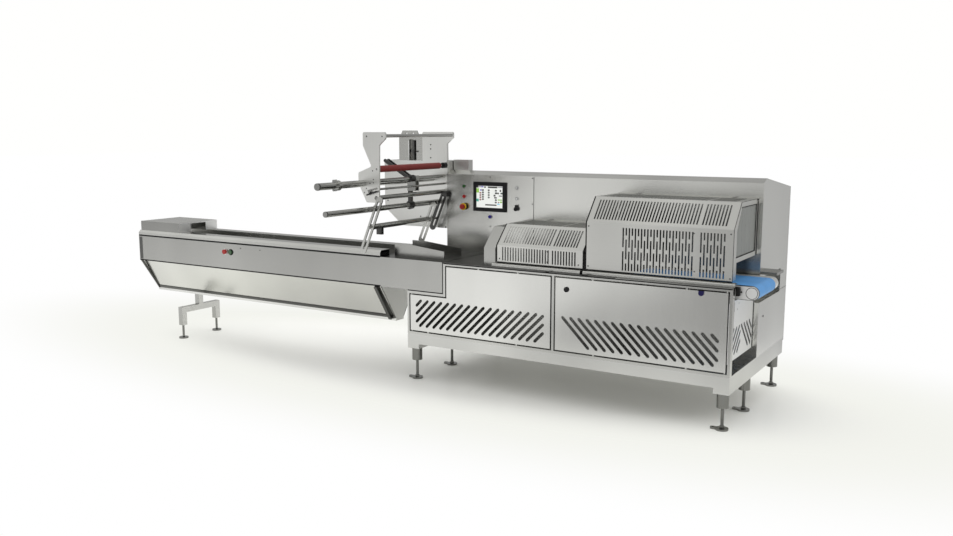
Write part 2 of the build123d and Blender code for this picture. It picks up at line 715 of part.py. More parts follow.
with BuildPart() as discharge_belt:
    extrude(stadium(BELT_BACK, DRUM_RADIUS), amount=BELT_WIDTH)
    extrude(stadium(BELT_BACK, DRUM_RADIUS - BELT_THICKNESS), amount=BELT_WIDTH, mode=Mode.SUBTRACT)
save(discharge_belt, "discharge_belt")

with BuildPart() as discharge_frame:
    extrude(stadium(BELT_FRONT, DRUM_RADIUS - PLATE_DROP), amount=CONVEYOR_PLATE)
    extrude(stadium(BELT_BACK + CONVEYOR_BOX, DRUM_RADIUS - PLATE_DROP), amount=CONVEYOR_BOX)
    for x in (TAIL_X, HEAD_X):
        rod(x, DRUM_Z, (BELT_FRONT, BELT_BACK), DRUM_RADIUS - BELT_THICKNESS - SEAT_PLAY)
save(discharge_frame, "discharge_frame")

# Doors: folded pans with slanting vents, hung on pivot pins
DOOR_LEFT = LEFT + FRAME_BAR + DOOR_GAP
DOOR_RIGHT = RIGHT - FRAME_BAR - DOOR_GAP
DOOR_SPLIT = (CENTRE_LEFT - DOOR_GAP, CENTRE_LEFT + FRAME_BAR + DOOR_GAP)
DOOR_Z = (RAIL_LOW[1] + DOOR_GAP, RAIL_HIGH[0] - DOOR_GAP)
STEP_X = NOTCH_POST + FRAME_BAR + DOOR_GAP
STEP_Z = RAIL_NOTCH[0] - DOOR_GAP


def door_pan(points):
    """Add a sheet pan with its edges folded back."""
    plate_xz(points, (FRONT, FRONT + SHEET))
    with BuildSketch(Plane.XZ.offset(-FRONT), mode=Mode.PRIVATE) as edge:
        add(outline(Plane.XZ, points))
        offset(amount=-SHEET, kind=Kind.INTERSECTION, mode=Mode.SUBTRACT)
    extrude(edge.sketch, amount=-DOOR_DEPTH)


def door_vents(x_span, angle):
    """Cut a door's field of vents."""
    corner = (x_span[0] + VENT_MARGIN, FRONT, DOOR_Z[0] + VENT_EDGE)
    plane = Plane(origin=corner, x_dir=(1, 0, 0), z_dir=(0, -1, 0))
    tall = STEP_Z - DOOR_Z[0] - 2 * VENT_EDGE
    field = vent_slots(plane, x_span[1] - x_span[0] - 2 * VENT_MARGIN, tall, angle)
    extrude(field, amount=-2 * SHEET, mode=Mode.SUBTRACT)


def door_pins(x, z_span):
    """Add the pivot pins above and below a door's hinge edge."""
    for z in (z_span[0] - DOOR_PIN_REACH / 2, z_span[1] + DOOR_PIN_REACH / 2):
        with Locations((x, PIN_Y, z)):
            Cylinder(DOOR_PIN_RADIUS, DOOR_PIN_REACH)


with BuildPart() as left_door:
    door_pan([
        (DOOR_LEFT, DOOR_Z[0]),
        (DOOR_SPLIT[0], DOOR_Z[0]),
        (DOOR_SPLIT[0], DOOR_Z[1]),
        (STEP_X, DOOR_Z[1]),
        (STEP_X, STEP_Z),
        (DOOR_LEFT, STEP_Z),
    ])
    door_vents((DOOR_LEFT, DOOR_SPLIT[0]), VENT_ANGLE)
    door_pins(LEFT_PIN, (DOOR_Z[0], STEP_Z))
save(left_door, "left_door")

with BuildPart() as right_door:
    door_pan([
        (DOOR_SPLIT[1], DOOR_Z[0]),
        (DOOR_RIGHT, DOOR_Z[0]),
        (DOOR_RIGHT, DOOR_Z[1]),
        (DOOR_SPLIT[1], DOOR_Z[1]),
    ])
    door_vents((DOOR_SPLIT[1], DOOR_RIGHT), -VENT_ANGLE)
    door_pins(RIGHT_PIN, DOOR_Z)
save(right_door, "right_door")

with BuildPart() as door_latch:
    round_button(DOOR_SPLIT[1] + LATCH_INSET, DECK_HEIGHT - LATCH_DROP, FRONT, LATCH_RADIUS, KNOB_PROUD)
save(door_latch, "door_latch")

with BuildPart() as door_sensor:
    sensor_x = DOOR_RIGHT - SENSOR_INSET
    round_button(sensor_x, DOOR_Z[1] - SENSOR_DROP, FRONT, SENSOR_RADIUS, KNOB_PROUD)
    block((sensor_x - SENSOR_RADIUS, sensor_x + SENSOR_RADIUS), (FRONT - KNOB_PROUD, FRONT),
          (DOOR_Z[1] - SENSOR_DROP, DOOR_Z[1]))
    block((sensor_x - SENSOR_RADIUS, sensor_x + SENSOR_RADIUS), (FRONT - KNOB_PROUD, FRONT),
          (DOOR_Z[1], DOOR_Z[1] + SENSOR_RADIUS), mode=Mode.SUBTRACT)
save(door_sensor, "door_sensor")

# Guards: folded slotted sheet that lifts on a rod along the wall


def lug_places(x_span):
    """Middles of the two hinge lugs of a guard."""
    return (x_span[0] + HINGE_LUG_INSET, x_span[1] - HINGE_LUG_INSET)


def slot_fields(length, start, end_field):
    """Two fields of slots along a guard, with a plain band between them."""
    end = length - FIELD_MARGIN
    second = end - end_field
    return ((start, second - FIELD_BREAK), (second, end))


def guard_top(points, x_span, fields):
    """Add a guard's top face with its slots, its lug cut-outs and its hinge rod."""
    top = points[3][1]
    rod_z = top - HINGE_ROD_RADIUS
    strip(points, 2, x_span)
    rise = (SLOT_BRIDGE, points[3][0] - points[2][0] - 2 * SLOT_BRIDGE)
    cut_slots(face_plane(points, 2, x_span[0]), fields, rise)
    room = HINGE_LUG_SIZE / 2 + HINGE_CLEARANCE
    for x in lug_places(x_span):
        block((x - room, x + room), (HINGE_LINE - room, HINGE_LINE + room), (top - room, top + room),
              mode=Mode.SUBTRACT)
    with Locations(Location(((x_span[0] + x_span[1]) / 2, HINGE_LINE, rod_z), (0, 90, 0))):
        Cylinder(HINGE_ROD_RADIUS, x_span[1] - x_span[0])


LARGE = guard_outline(LARGE_FOLD, LARGE_TOP)
SMALL = guard_outline(SMALL_FOLD, SMALL_TOP)
LARGE_FRONT_FIELDS = slot_fields(LARGE_LENGTH, LARGE_PLAIN, LARGE_END_FIELD)
LARGE_ROOF_FIELDS = slot_fields(LARGE_LENGTH, FIELD_MARGIN, LARGE_END_FIELD)
SMALL_FIELDS = slot_fields(SMALL_LENGTH, FIELD_MARGIN, SMALL_END_FIELD)

with BuildPart() as large_guard_front:
    strip(LARGE, 0, LARGE_X)
    cut_slots(face_plane(LARGE, 0, LARGE_X[0]), LARGE_FRONT_FIELDS,
              (SLOT_WIDTH, LARGE_FOLD - GUARD_BOTTOM - SLOT_BRIDGE), staggered=True)
save(large_guard_front, "large_guard_front")

with BuildPart() as large_guard_slope:
    strip(LARGE, 1, LARGE_X)
    slope = hypot(GUARD_SLOPE_RUN, LARGE_TOP - LARGE_FOLD)
    cut_slots(face_plane(LARGE, 1, LARGE_X[0]), LARGE_ROOF_FIELDS, (SLOT_BRIDGE, slope - SLOT_BRIDGE))
save(large_guard_slope, "large_guard_slope")

with BuildPart() as large_guard_top:
    guard_top(LARGE, LARGE_X, LARGE_ROOF_FIELDS)
save(large_guard_top, "large_guard_top")

with BuildPart() as small_guard_front:
    strip(SMALL, 0, SMALL_X)
    cut_slots(face_plane(SMALL, 0, SMALL_X[0]), SMALL_FIELDS,
              (SLOT_WIDTH, SMALL_FOLD - GUARD_BOTTOM - SLOT_WIDTH))
save(small_guard_front, "small_guard_front")

with BuildPart() as small_guard_slope:
    strip(SMALL, 1, SMALL_X)
    slope = hypot(GUARD_SLOPE_RUN, SMALL_TOP - SMALL_FOLD)
    cut_slots(face_plane(SMALL, 1, SMALL_X[0]), SMALL_FIELDS, (SLOT_BRIDGE, slope - SLOT_BRIDGE))
save(small_guard_slope, "small_guard_slope")

with BuildPart() as small_guard_top:
    guard_top(SMALL, SMALL_X, SMALL_FIELDS)
save(small_guard_top, "small_guard_top")

# End plates of the large guard, with the product mouth, and the window in the discharge end
LARGE_INNER = inner_line(LARGE, SHEET)
END_REAR = WALL - HINGE_CLEARANCE
ROD_FRONT = HINGE_LINE - HINGE_ROD_RADIUS - SHEET
ROD_UNDER = LARGE_TOP - 2 * HINGE_ROD_RADIUS - SHEET
MOUTH_FRONT = FRONT + GUARD_SETBACK + MOUTH_LEG
END_PLATE = [
    (LARGE_INNER[0][0], GUARD_BOTTOM),
    LARGE_INNER[1],
    LARGE_INNER[2],
    (ROD_FRONT, LARGE_INNER[3][1]),
    (ROD_FRONT, ROD_UNDER),
    (END_REAR, ROD_UNDER),
    (END_REAR, MOUTH_TOP),
    (MOUTH_FRONT, MOUTH_TOP),
    (MOUTH_FRONT, GUARD_BOTTOM),
]


def window_outline(margin):
    """Outline of the window, set in from the guard's folds by a margin."""
    line = inner_line(LARGE, SHEET + margin)
    low = MOUTH_TOP + margin
    return [(line[0][0] + margin, low), (line[1][0] + margin, line[1][1]), line[2],
            (END_REAR - margin, line[2][1]), (END_REAR - margin, low)]


with BuildPart() as large_guard_left_end:
    plate_yz(END_PLATE, (LARGE_X[0], LARGE_X[0] + SHEET))
save(large_guard_left_end, "large_guard_left_end")

with BuildPart() as large_guard_right_end:
    plate_yz(END_PLATE, (LARGE_X[1] - SHEET, LARGE_X[1]))
    plate_yz(window_outline(WINDOW_MARGIN), (LARGE_X[1] - SHEET, LARGE_X[1]), WINDOW_LAP, Mode.SUBTRACT)
save(large_guard_right_end, "large_guard_right_end")

with BuildPart() as large_guard_window:
    plate_yz(window_outline(WINDOW_MARGIN - WINDOW_LAP), (LARGE_X[1] - SHEET - PLATE, LARGE_X[1] - SHEET))
save(large_guard_window, "large_guard_window")

# Lugs on the wall that carry the guards' hinge rods
with BuildPart() as hinge_lugs:
    for x_span, top in ((LARGE_X, LARGE_TOP), (SMALL_X, SMALL_TOP)):
        rod_z = top - HINGE_ROD_RADIUS
        for x in lug_places(x_span):
            reach = HINGE_LUG_SIZE / 2
            block((x - reach, x + reach), (HINGE_LINE - reach, WALL), (rod_z - reach, rod_z + reach))
            with Locations(Location((x, HINGE_LINE, rod_z), (0, 90, 0))):
                Cylinder(HINGE_ROD_RADIUS + RUNNING_PLAY, HINGE_LUG_SIZE, mode=Mode.SUBTRACT)
save(hinge_lugs, "hinge_lugs")

# Fixed plain hood where the product enters the small guard
HOOD_X = (SMALL_X[0] - HOOD_GAP - HOOD_LENGTH, SMALL_X[0] - HOOD_GAP)
HOOD = [
    (FRONT + GUARD_SETBACK, DECK_HEIGHT),
    (FRONT + GUARD_SETBACK, SMALL_FOLD - HOOD_DROP),
    (FRONT + GUARD_SETBACK + GUARD_SLOPE_RUN, SMALL_TOP - HOOD_DROP),
    (WALL, SMALL_TOP - HOOD_DROP),
]
with BuildPart() as guard_end_hood:
    plate_yz(HOOD + inner_line(HOOD, SHEET)[::-1], HOOD_X)
save(guard_end_hood, "guard_end_hood")

# Film plates
FOOT_BOTTOM = LOWER_BAR[1] - LOWER_BAR_RADIUS - PLATE_EDGE
FOOT_RIGHT = LOWER_BAR[0] + LOWER_BAR_RADIUS + PLATE_EDGE
LOBE_LEFT = SPINDLE[0] - SPINDLE_RADIUS - PLATE_EDGE
FRONT_PLATE_OUTLINE = [film_place(p) for p in (
    (HEAD_LEFT, 0), (HORN[0], 0), HORN, NECK, (FOOT_RIGHT, FOOT_BOTTOM), (FOOT_LEFT, FOOT_BOTTOM),
    (LOBE_LEFT, SPINDLE[1]), (LOBE_LEFT, SPINDLE[1] + LOBE_TOP), WAIST, (HEAD_LEFT, HEAD_DROP),
)]
HOUSING_OUTLINE = [film_place(p) for p in (
    (HOUSING_LEFT, HOUSING_TOP),
    (HOUSING_LEFT, HOUSING_SHOULDER),
    (HOUSING_TOE, HOUSING_BOTTOM),
    (-WALL_OVERHANG, HOUSING_BOTTOM),
    (-WALL_OVERHANG, HOUSING_TOP),
)]
REAR_PLATE_OUTLINE = HOUSING_OUTLINE[:4] + [film_place(p) for p in (
    (NECK[0] - REAR_INSET, NECK[1]), (HORN[0] - REAR_INSET, HORN[1]), (HORN[0] - REAR_INSET, 0),
    (TOWER_START + TOWER_LENGTH, 0), (TOWER_START + TOWER_LENGTH, HOUSING_TOP),
)]

with BuildPart() as front_film_plate:
    plate_xz(FRONT_PLATE_OUTLINE, (FILM_FRONT, FILM_INNER), FILM_CORNER)
    rod(*film_place(SPINDLE), (FILM_FRONT, FILM_INNER), SPINDLE_RADIUS + RUNNING_PLAY, Mode.SUBTRACT)
    rod(*film_place(RED_ROLLER), (FILM_FRONT, FILM_INNER), RED_AXLE_RADIUS + RUNNING_PLAY, Mode.SUBTRACT)
save(front_film_plate, "front_film_plate")

with BuildPart() as rear_film_plate:
    plate_xz(REAR_PLATE_OUTLINE, (FILM_REAR, HOUSING_FRONT))
    corners = rear_film_plate.edges().filter_by(Axis.Y)
    fillet(corners.group_by(Axis.Z)[-1] + corners.group_by(Axis.X)[0], FILM_CORNER)
    rod(*film_place(SPINDLE), (FILM_REAR, HOUSING_FRONT), SPINDLE_JOURNAL + RUNNING_PLAY, Mode.SUBTRACT)
save(rear_film_plate, "rear_film_plate")

with BuildPart() as film_housing:
    plate_xz(HOUSING_OUTLINE, (HOUSING_FRONT, HOUSING_FRONT + HOUSING_DEPTH))
    fillet(film_housing.edges().filter_by(Axis.Y).group_by(Axis.X)[0], FILM_CORNER)
save(film_housing, "film_housing")

with BuildPart() as film_tower:
    tower_x = (LEFT + TOWER_START, LEFT + TOWER_START + TOWER_LENGTH)
    tower_z = (FILM_HEIGHT + HOUSING_TOP, FILM_HEIGHT + TOWER_TOP)
    block(tower_x, (FILM_REAR, FILM_REAR + TOWER_DEPTH), tower_z)
    slot_x = tower_x[0] + TOWER_SLOT_PLACE
    block((slot_x, slot_x + TOWER_SLOT_WIDTH), (FILM_REAR, FILM_REAR + TOWER_SLOT_DEPTH),
          (tower_z[0], tower_z[0] + TOWER_SLOT_TALL), mode=Mode.SUBTRACT)
    cap_x = (tower_x[0] + CAP_PLACE, tower_x[0] + CAP_PLACE + CAP_LENGTH)
    cap_top = tower_z[1] + CAP_TALL
    plate_xz([
        (cap_x[0], tower_z[1]), (cap_x[1], tower_z[1]),
        (cap_x[1] - CAP_TAPER, cap_top), (cap_x[0] + CAP_TAPER, cap_top),
    ], (FILM_REAR, FILM_REAR + FILM_PLATE))
    for x in (cap_x[0] + CAP_LENGTH / 3, cap_x[1] - CAP_LENGTH / 3):
        rod(x, tower_z[1] + CAP_TALL / 2, (FILM_REAR, FILM_REAR + FILM_PLATE), CAP_HOLE_RADIUS, Mode.SUBTRACT)
save(film_tower, "film_tower")

# Bars that tie the two film plates, with the dancer's forked bracket, and the plain shaft below them
DANCER_Y = FILM_INNER + DANCER_PLACE
BRACKET_Y = (DANCER_Y + 2 * DANCER_BAR + DANCER_GAP + SEAT_PLAY,
             DANCER_Y + 2 * DANCER_BAR + 2 * DANCER_GAP + 2 * BRACKET_PLATE)
with BuildPart() as film_bars:
    for place, radius in ((TIE_ROD, TIE_ROD_RADIUS), (UPPER_BAR, UPPER_BAR_RADIUS),
                          (THIN_BAR, THIN_BAR_RADIUS), (LOWER_BAR, LOWER_BAR_RADIUS)):
        rod(*film_place(place), (FILM_INNER, FILM_REAR), radius)
    x, z = film_place(UPPER_BAR)
    bracket_x = (x - BRACKET_REACH[0], x + BRACKET_REACH[1])
    block(bracket_x, BRACKET_Y, (z - BRACKET_TALL, z + BRACKET_REACH[1]))
    block(bracket_x, (BRACKET_Y[0] + BRACKET_PLATE, BRACKET_Y[1] - BRACKET_PLATE),
          (z - BRACKET_TALL, z - BRACKET_REACH[1]), mode=Mode.SUBTRACT)
save(film_bars, "film_bars")

with BuildPart() as lower_shaft:
    rod(*film_place(LOWER_SHAFT), (SPINDLE_TIP, FILM_REAR), LOWER_SHAFT_RADIUS)
save(lower_shaft, "lower_shaft")

# Red rubber roller on its axle
ROLLER_BACK = FILM_REAR - RED_ROLLER_END
with BuildPart() as film_roller:
    x, z = film_place(RED_ROLLER)
    rod(x, z, (FILM_INNER + HINGE_CLEARANCE, ROLLER_BACK), RED_ROLLER_RADIUS)
    with Locations(Location((x, ROLLER_BACK + RED_CONE / 2, z), (-90, 0, 0))):
        Cone(RED_ROLLER_RADIUS, RED_AXLE_RADIUS, RED_CONE)
    rod(x, z, (FILM_FRONT, FILM_REAR - RUNNING_PLAY), RED_AXLE_RADIUS)
save(film_roller, "film_roller")

# Reel spindle with its chuck
with BuildPart() as reel_spindle:
    x, z = film_place(SPINDLE)
    chuck_y = SPINDLE_TIP + CHUCK_PLACE
    rod(x, z, (SPINDLE_TIP, FILM_REAR - RUNNING_PLAY), SPINDLE_RADIUS)
    rod(x, z, (FILM_REAR - RUNNING_PLAY, HOUSING_FRONT - RUNNING_PLAY), SPINDLE_JOURNAL)
    rod(x, z, (chuck_y, chuck_y + CHUCK_LENGTH), CHUCK_RADIUS)
    with BuildSketch(Plane.XZ.offset(-chuck_y - CHUCK_LENGTH)) as ears:
        with Locations((x, z)):
            with PolarLocations(CHUCK_RADIUS, CHUCK_EARS):
                Circle(EAR_RADIUS)
    extrude(amount=CHUCK_LENGTH)
save(reel_spindle, "reel_spindle")

# Dancer: two arms on a hub round the upper bar, a link clamped on the lower shaft, a clip on the roller
with BuildPart() as dancer_arm:
    x0, z0 = film_place(UPPER_BAR)
    x1, z1 = film_place(DANCER_TIP)
    lean = degrees(atan2(z1 - z0, x1 - x0))
    for y in (DANCER_Y, DANCER_Y + DANCER_BAR + DANCER_GAP):
        with BuildSketch(Plane.XZ.offset(-y - DANCER_BAR)) as bar:
            with Locations(Location(((x0 + x1) / 2, (z0 + z1) / 2, 0), (0, 0, lean))):
                SlotCenterToCenter(hypot(x1 - x0, z1 - z0), DANCER_WIDTH)
        extrude(amount=DANCER_BAR)
    rod(x0, z0, (DANCER_Y, DANCER_Y + 2 * DANCER_BAR + DANCER_GAP), DANCER_HUB_RADIUS)
    rod(x0, z0, (DANCER_Y, DANCER_Y + 2 * DANCER_BAR + DANCER_GAP), UPPER_BAR_RADIUS, Mode.SUBTRACT)
    x, z = film_place(LOWER_SHAFT)
    link_y = (BRACKET_Y[0] + BRACKET_PLATE + SEAT_PLAY, BRACKET_Y[1] - BRACKET_PLATE - SEAT_PLAY)
    block((x - DANCER_WIDTH / 2, x + DANCER_WIDTH / 2), link_y, (z, FILM_HEIGHT + LINK_TOP))
    rod(x, z, link_y, LINK_CLAMP_RADIUS)
    rod(x, z, link_y, LOWER_SHAFT_RADIUS, Mode.SUBTRACT)
    x, z = film_place(CROSS_ROLLER)
    clip_y = (FILM_FRONT + CLIP_PLACE, FILM_FRONT + CLIP_PLACE + CLIP_WIDTH)
    block((x - CLIP_WIDTH, x + CLIP_WIDTH), clip_y, (z - CLIP_TALL, z))
    rod(x, z, clip_y, CROSS_ROLLER_RADIUS, Mode.SUBTRACT)
save(dancer_arm, "dancer_arm")

# Slotted arms that carry the cross roller
REAR_ARM_Y = FILM_REAR - ARM_REAR_GAP


def arm_point(distance):
    """Place on an arm's middle line, at a distance above the cross roller."""
    x, z = film_place(CROSS_ROLLER)
    return x + distance * cos(radians(ARM_LEAN)), z + distance * sin(radians(ARM_LEAN))


def slotted_arm(above, below, y):
    """Add a flat round-ended arm with a long slot down its middle, for the cross roller's axle."""
    middle = (*arm_point((above - below) / 2), 0)
    length = above + below
    with BuildSketch(Plane.XZ.offset(-y - ARM_THICKNESS), mode=Mode.PRIVATE) as arm:
        with Locations(Location(middle, (0, 0, ARM_LEAN))):
            SlotCenterToCenter(length, ARM_WIDTH)
            SlotCenterToCenter(length - ARM_SLOT_MARGIN, 2 * (CROSS_AXLE_RADIUS + SEAT_PLAY),
                               mode=Mode.SUBTRACT)
    extrude(arm.sketch, amount=ARM_THICKNESS)


GUIDE_ARM_Y = REAR_ARM_Y - GUIDE_ARM_GAP
GUIDE_ARM_DROP = FILM_HEIGHT + CROSS_ROLLER[1] - RAIL_TOP - GUIDE_ARM_LIFT - ARM_WIDTH / 2
with BuildPart() as slotted_arms:
    slotted_arm(*FRONT_ARM, FILM_FRONT - ARM_THICKNESS)
    slotted_arm(GUIDE_ARM_ABOVE, GUIDE_ARM_DROP / sin(radians(ARM_LEAN)), GUIDE_ARM_Y)
save(slotted_arms, "slotted_arms")

with BuildPart() as rear_film_arm:
    slotted_arm(*REAR_ARM, REAR_ARM_Y)
save(rear_film_arm, "rear_film_arm")

# Black bearings of the red roller and of the rear arm
with BuildPart() as film_bearings:
    x, z = film_place(RED_ROLLER)
    rod(x, z, (FILM_REAR - BEARING_LENGTH, FILM_REAR), BEARING_RADIUS)
    rod(x, z, (FILM_REAR - BEARING_LENGTH, FILM_REAR), RED_AXLE_RADIUS + RUNNING_PLAY, Mode.SUBTRACT)
    rod(*arm_point(REAR_ARM[0]), (REAR_ARM_Y + ARM_THICKNESS, WALL), BEARING_RADIUS)
save(film_bearings, "film_bearings")

with BuildPart() as cross_roller:
    x, z = film_place(CROSS_ROLLER)
    rod(x, z, (FILM_FRONT, GUIDE_ARM_Y), CROSS_ROLLER_RADIUS)
    rod(x, z, (FILM_FRONT - CROSS_AXLE_REACH, REAR_ARM_Y + ARM_THICKNESS), CROSS_AXLE_RADIUS)
save(cross_roller, "cross_roller")

# Infeed body, side panels and pan
INFEED_STOP_X = LEFT + INFEED_END
BODY_Y = (FRONT + SHEET, INFEED_BACK - SHEET)
with BuildPart() as infeed_body:
    block((INFEED_LEFT + PLATE, INFEED_RIGHT), BODY_Y, (NOTCH_HEIGHT, INFEED_BODY_TOP))
save(infeed_body, "infeed_body")

with BuildPart() as infeed_side_panels:
    for y in (FRONT, INFEED_BACK - SHEET):
        block((INFEED_LEFT, INFEED_RIGHT), (y, y + SHEET), (NOTCH_HEIGHT, DECK_HEIGHT))
save(infeed_side_panels, "infeed_side_panels")


def pan_section(recess):
    """Section of the pan: two sides that slope in to a narrow foot."""
    half_top = INFEED_WIDTH / 2 - recess
    half_foot = PAN_FOOT_WIDTH / 2
    return [
        (INFEED_MIDDLE - half_top, NOTCH_HEIGHT),
        (INFEED_MIDDLE - half_foot, PAN_BOTTOM),
        (INFEED_MIDDLE + half_foot, PAN_BOTTOM),
        (INFEED_MIDDLE + half_top, NOTCH_HEIGHT),
    ]


with BuildPart() as infeed_pan:
    pan_x = (INFEED_LEFT + PLATE, INFEED_STOP_X)
    plate_yz(pan_section(PAN_RECESS), pan_x)
    for x in (pan_x[0], pan_x[1] - PAN_FLANGE):
        plate_yz(pan_section(0), (x, x + PAN_FLANGE))
    half_lip = PAN_FOOT_WIDTH / 2 + PAN_LIP
    lip_y = (INFEED_MIDDLE - half_lip, INFEED_MIDDLE + half_lip)
    block(pan_x, lip_y, (PAN_BOTTOM, PAN_BOTTOM + PAN_LIP_TALL))
save(infeed_pan, "infeed_pan")


# Hollow side rails, trough floor and forming table
def rail_section(side):
    """Bent sheet of a side rail: outer lip, chamfer, top, inner wall down to the trough."""
    outer = INFEED_MIDDLE + side * INFEED_WIDTH / 2
    line = [
        (0, DECK_HEIGHT + RAIL_GAP),
        (0, RAIL_TOP - RAIL_CHAMFER),
        (RAIL_CHAMFER, RAIL_TOP),
        (RAIL_WIDTH, RAIL_TOP),
        (RAIL_WIDTH, INFEED_BODY_TOP),
    ]
    return [(outer - side * y, z) for y, z in line + inner_line(line, SHEET)[::-1]]


with BuildPart() as infeed_rails:
    for side in (-1, 1):
        plate_yz(rail_section(side), (INFEED_LEFT + PLATE, INFEED_STOP_X))
save(infeed_rails, "infeed_rails")

with BuildPart() as infeed_trough:
    block((INFEED_LEFT + PLATE, INFEED_STOP_X), (FRONT + RAIL_WIDTH, INFEED_BACK - RAIL_WIDTH),
          (INFEED_BODY_TOP, INFEED_BODY_TOP + PLATE))
save(infeed_trough, "infeed_trough")

with BuildPart() as forming_table:
    block((INFEED_STOP_X, INFEED_RIGHT), BODY_Y, (INFEED_BODY_TOP, DECK_HEIGHT))
    block((LEFT, INFEED_RIGHT), (INFEED_BACK, WALL), (DECK_UNDER, DECK_HEIGHT))
save(forming_table, "forming_table")

# Tail box over the far end of the infeed, open to the trough
with BuildPart() as infeed_tail_box:
    tail_x = (INFEED_LEFT + TAIL_START, INFEED_LEFT + TAIL_START + TAIL_LENGTH)
    block(tail_x, (FRONT + TAIL_INSET, INFEED_BACK - TAIL_INSET), (RAIL_TOP, RAIL_TOP + TAIL_TALL))
    block((tail_x[1] - TAIL_WINDOW_DEPTH, tail_x[1]),
          (INFEED_MIDDLE - TAIL_WINDOW_WIDTH / 2, INFEED_MIDDLE + TAIL_WINDOW_WIDTH / 2),
          (RAIL_TOP, RAIL_TOP + TAIL_WINDOW_TALL), mode=Mode.SUBTRACT)
save(infeed_tail_box, "infeed_tail_box")

# Stand under the far end of the infeed
STAND_X = INFEED_LEFT + STAND_PLACE
with BuildPart() as infeed_stand:
    tube_x = (STAND_X - STAND_TUBE / 2, STAND_X + STAND_TUBE / 2)
    legs = (INFEED_MIDDLE - STAND_SPAN / 2, INFEED_MIDDLE + STAND_SPAN / 2)
    bar_z = (STAND_BAR_TOP - STAND_TUBE, STAND_BAR_TOP)
    block(tube_x, (legs[0] - STAND_TUBE / 2, legs[1] + STAND_TUBE / 2), bar_z)
    block(tube_x, (INFEED_MIDDLE - STAND_TUBE / 2, INFEED_MIDDLE + STAND_TUBE / 2), (bar_z[1], PAN_BOTTOM))
    for y in legs:
        block(tube_x, (y - STAND_TUBE / 2, y + STAND_TUBE / 2), (STAND_LEG_BOTTOM, bar_z[0]))
        with Locations((STAND_X, y, 0)):
            Cylinder(SCREW_RADIUS, STAND_LEG_BOTTOM, align=(Align.CENTER, Align.CENTER, Align.MIN))
            Cylinder(FOOT_RADIUS, FOOT_HEIGHT, align=(Align.CENTER, Align.CENTER, Align.MIN))
save(infeed_stand, "infeed_stand")

# Forming box: two wedge plates on the table
with BuildPart() as forming_box:
    start = LEFT + FORMER_START
    wedge = [
        (start, DECK_HEIGHT),
        (start + FORMER_LENGTH, DECK_HEIGHT),
        (start + FORMER_LENGTH, DECK_HEIGHT + FORMER_LOW),
        (start + FORMER_LENGTH / 4, DECK_HEIGHT + FORMER_TALL),
        (start, DECK_HEIGHT + FORMER_TALL),
    ]
    for y in (FRONT + FORMER_SETBACK, FRONT + FORMER_SETBACK + FORMER_SPAN):
        plate_xz(wedge, (y, y + FORMER_PLATE))
save(forming_box, "forming_box")
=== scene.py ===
"""Looks of a horizontal flow wrapper: brushed sheets, small fittings, studio light and the photo's view."""

import json
from math import atan2, pi, radians

import bmesh
import bpy
from mathutils import Matrix, Vector


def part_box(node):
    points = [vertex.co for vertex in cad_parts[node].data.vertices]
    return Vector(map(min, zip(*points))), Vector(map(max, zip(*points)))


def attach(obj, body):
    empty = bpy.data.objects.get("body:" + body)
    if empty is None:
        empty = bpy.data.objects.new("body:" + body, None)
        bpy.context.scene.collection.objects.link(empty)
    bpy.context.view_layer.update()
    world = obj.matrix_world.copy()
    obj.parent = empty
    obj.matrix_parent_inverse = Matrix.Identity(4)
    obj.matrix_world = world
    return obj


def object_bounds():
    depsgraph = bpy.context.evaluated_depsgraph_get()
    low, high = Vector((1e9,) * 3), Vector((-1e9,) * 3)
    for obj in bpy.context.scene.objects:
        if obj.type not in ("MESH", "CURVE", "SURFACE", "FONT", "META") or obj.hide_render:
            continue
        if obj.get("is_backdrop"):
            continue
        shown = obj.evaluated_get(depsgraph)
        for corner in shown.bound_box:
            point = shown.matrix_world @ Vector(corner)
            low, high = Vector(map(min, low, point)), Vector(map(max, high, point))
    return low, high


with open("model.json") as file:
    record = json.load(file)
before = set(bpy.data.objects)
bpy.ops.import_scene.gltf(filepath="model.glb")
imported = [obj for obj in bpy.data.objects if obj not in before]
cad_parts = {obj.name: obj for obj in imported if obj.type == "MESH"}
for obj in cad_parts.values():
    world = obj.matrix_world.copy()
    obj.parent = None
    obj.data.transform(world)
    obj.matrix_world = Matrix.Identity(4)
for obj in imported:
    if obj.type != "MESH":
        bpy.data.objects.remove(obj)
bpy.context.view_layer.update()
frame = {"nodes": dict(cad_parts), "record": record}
scene = bpy.context.scene

# Camera
CAMERA_PLACE = (4.206, -5.750, 1.85)
CAMERA_TURN = (81.4707, 0.0, 31.7524)
CAMERA_LENS = 34.766
SENSOR_WIDTH = 36.0

# Brushed steel: its darker and paler tone, and the stretch and strength of what marks it
STEEL_TONES = (0.84, 1.16)
BAND_STRETCH = (1.5, 1.1, 0.5)
SMEAR_STRETCH = (5.0, 5.0, 1.6)
GRAIN_SHADE = 0.2
BAND_SHADE = 1.5
GRAIN_BUMP = 0.03
GRAIN_DEPTH = 0.0003

# Panels on the wall's rear face
WALL_BAND_SHADE = 1.2
WALL_ROUGHNESS = 0.24
WALL_SPREAD = 0.10
SEAM_SHADE = 3.0
SEAM_BUMP = 0.2
SEAM_RELIEF = 0.0012
SEAM_GRAIN = 0.3
SEAM_DEPTH = 0.004
SEAM_HALF = 0.0015
SEAM_FADE = 1.6
SCREW_INSET = 0.030
SCREW_RADIUS = 0.006
SCREW_FADE = 0.9
SCREW_DARK = 0.8
# Near-black for the rear face's seams and screws, and for the painted shade on the front face
SEAM_AND_SHADE_DARK = (0.02, 0.02, 0.02)

# Painted shade on the wall's front, behind the guards and beside the film unit
COVER_EDGE = 0.03
COVER_FADE = 0.16
COVER_SHADE = 0.70
FILM_SHADE_REACH = 0.40
FILM_SHADE_DEPTH = 0.30

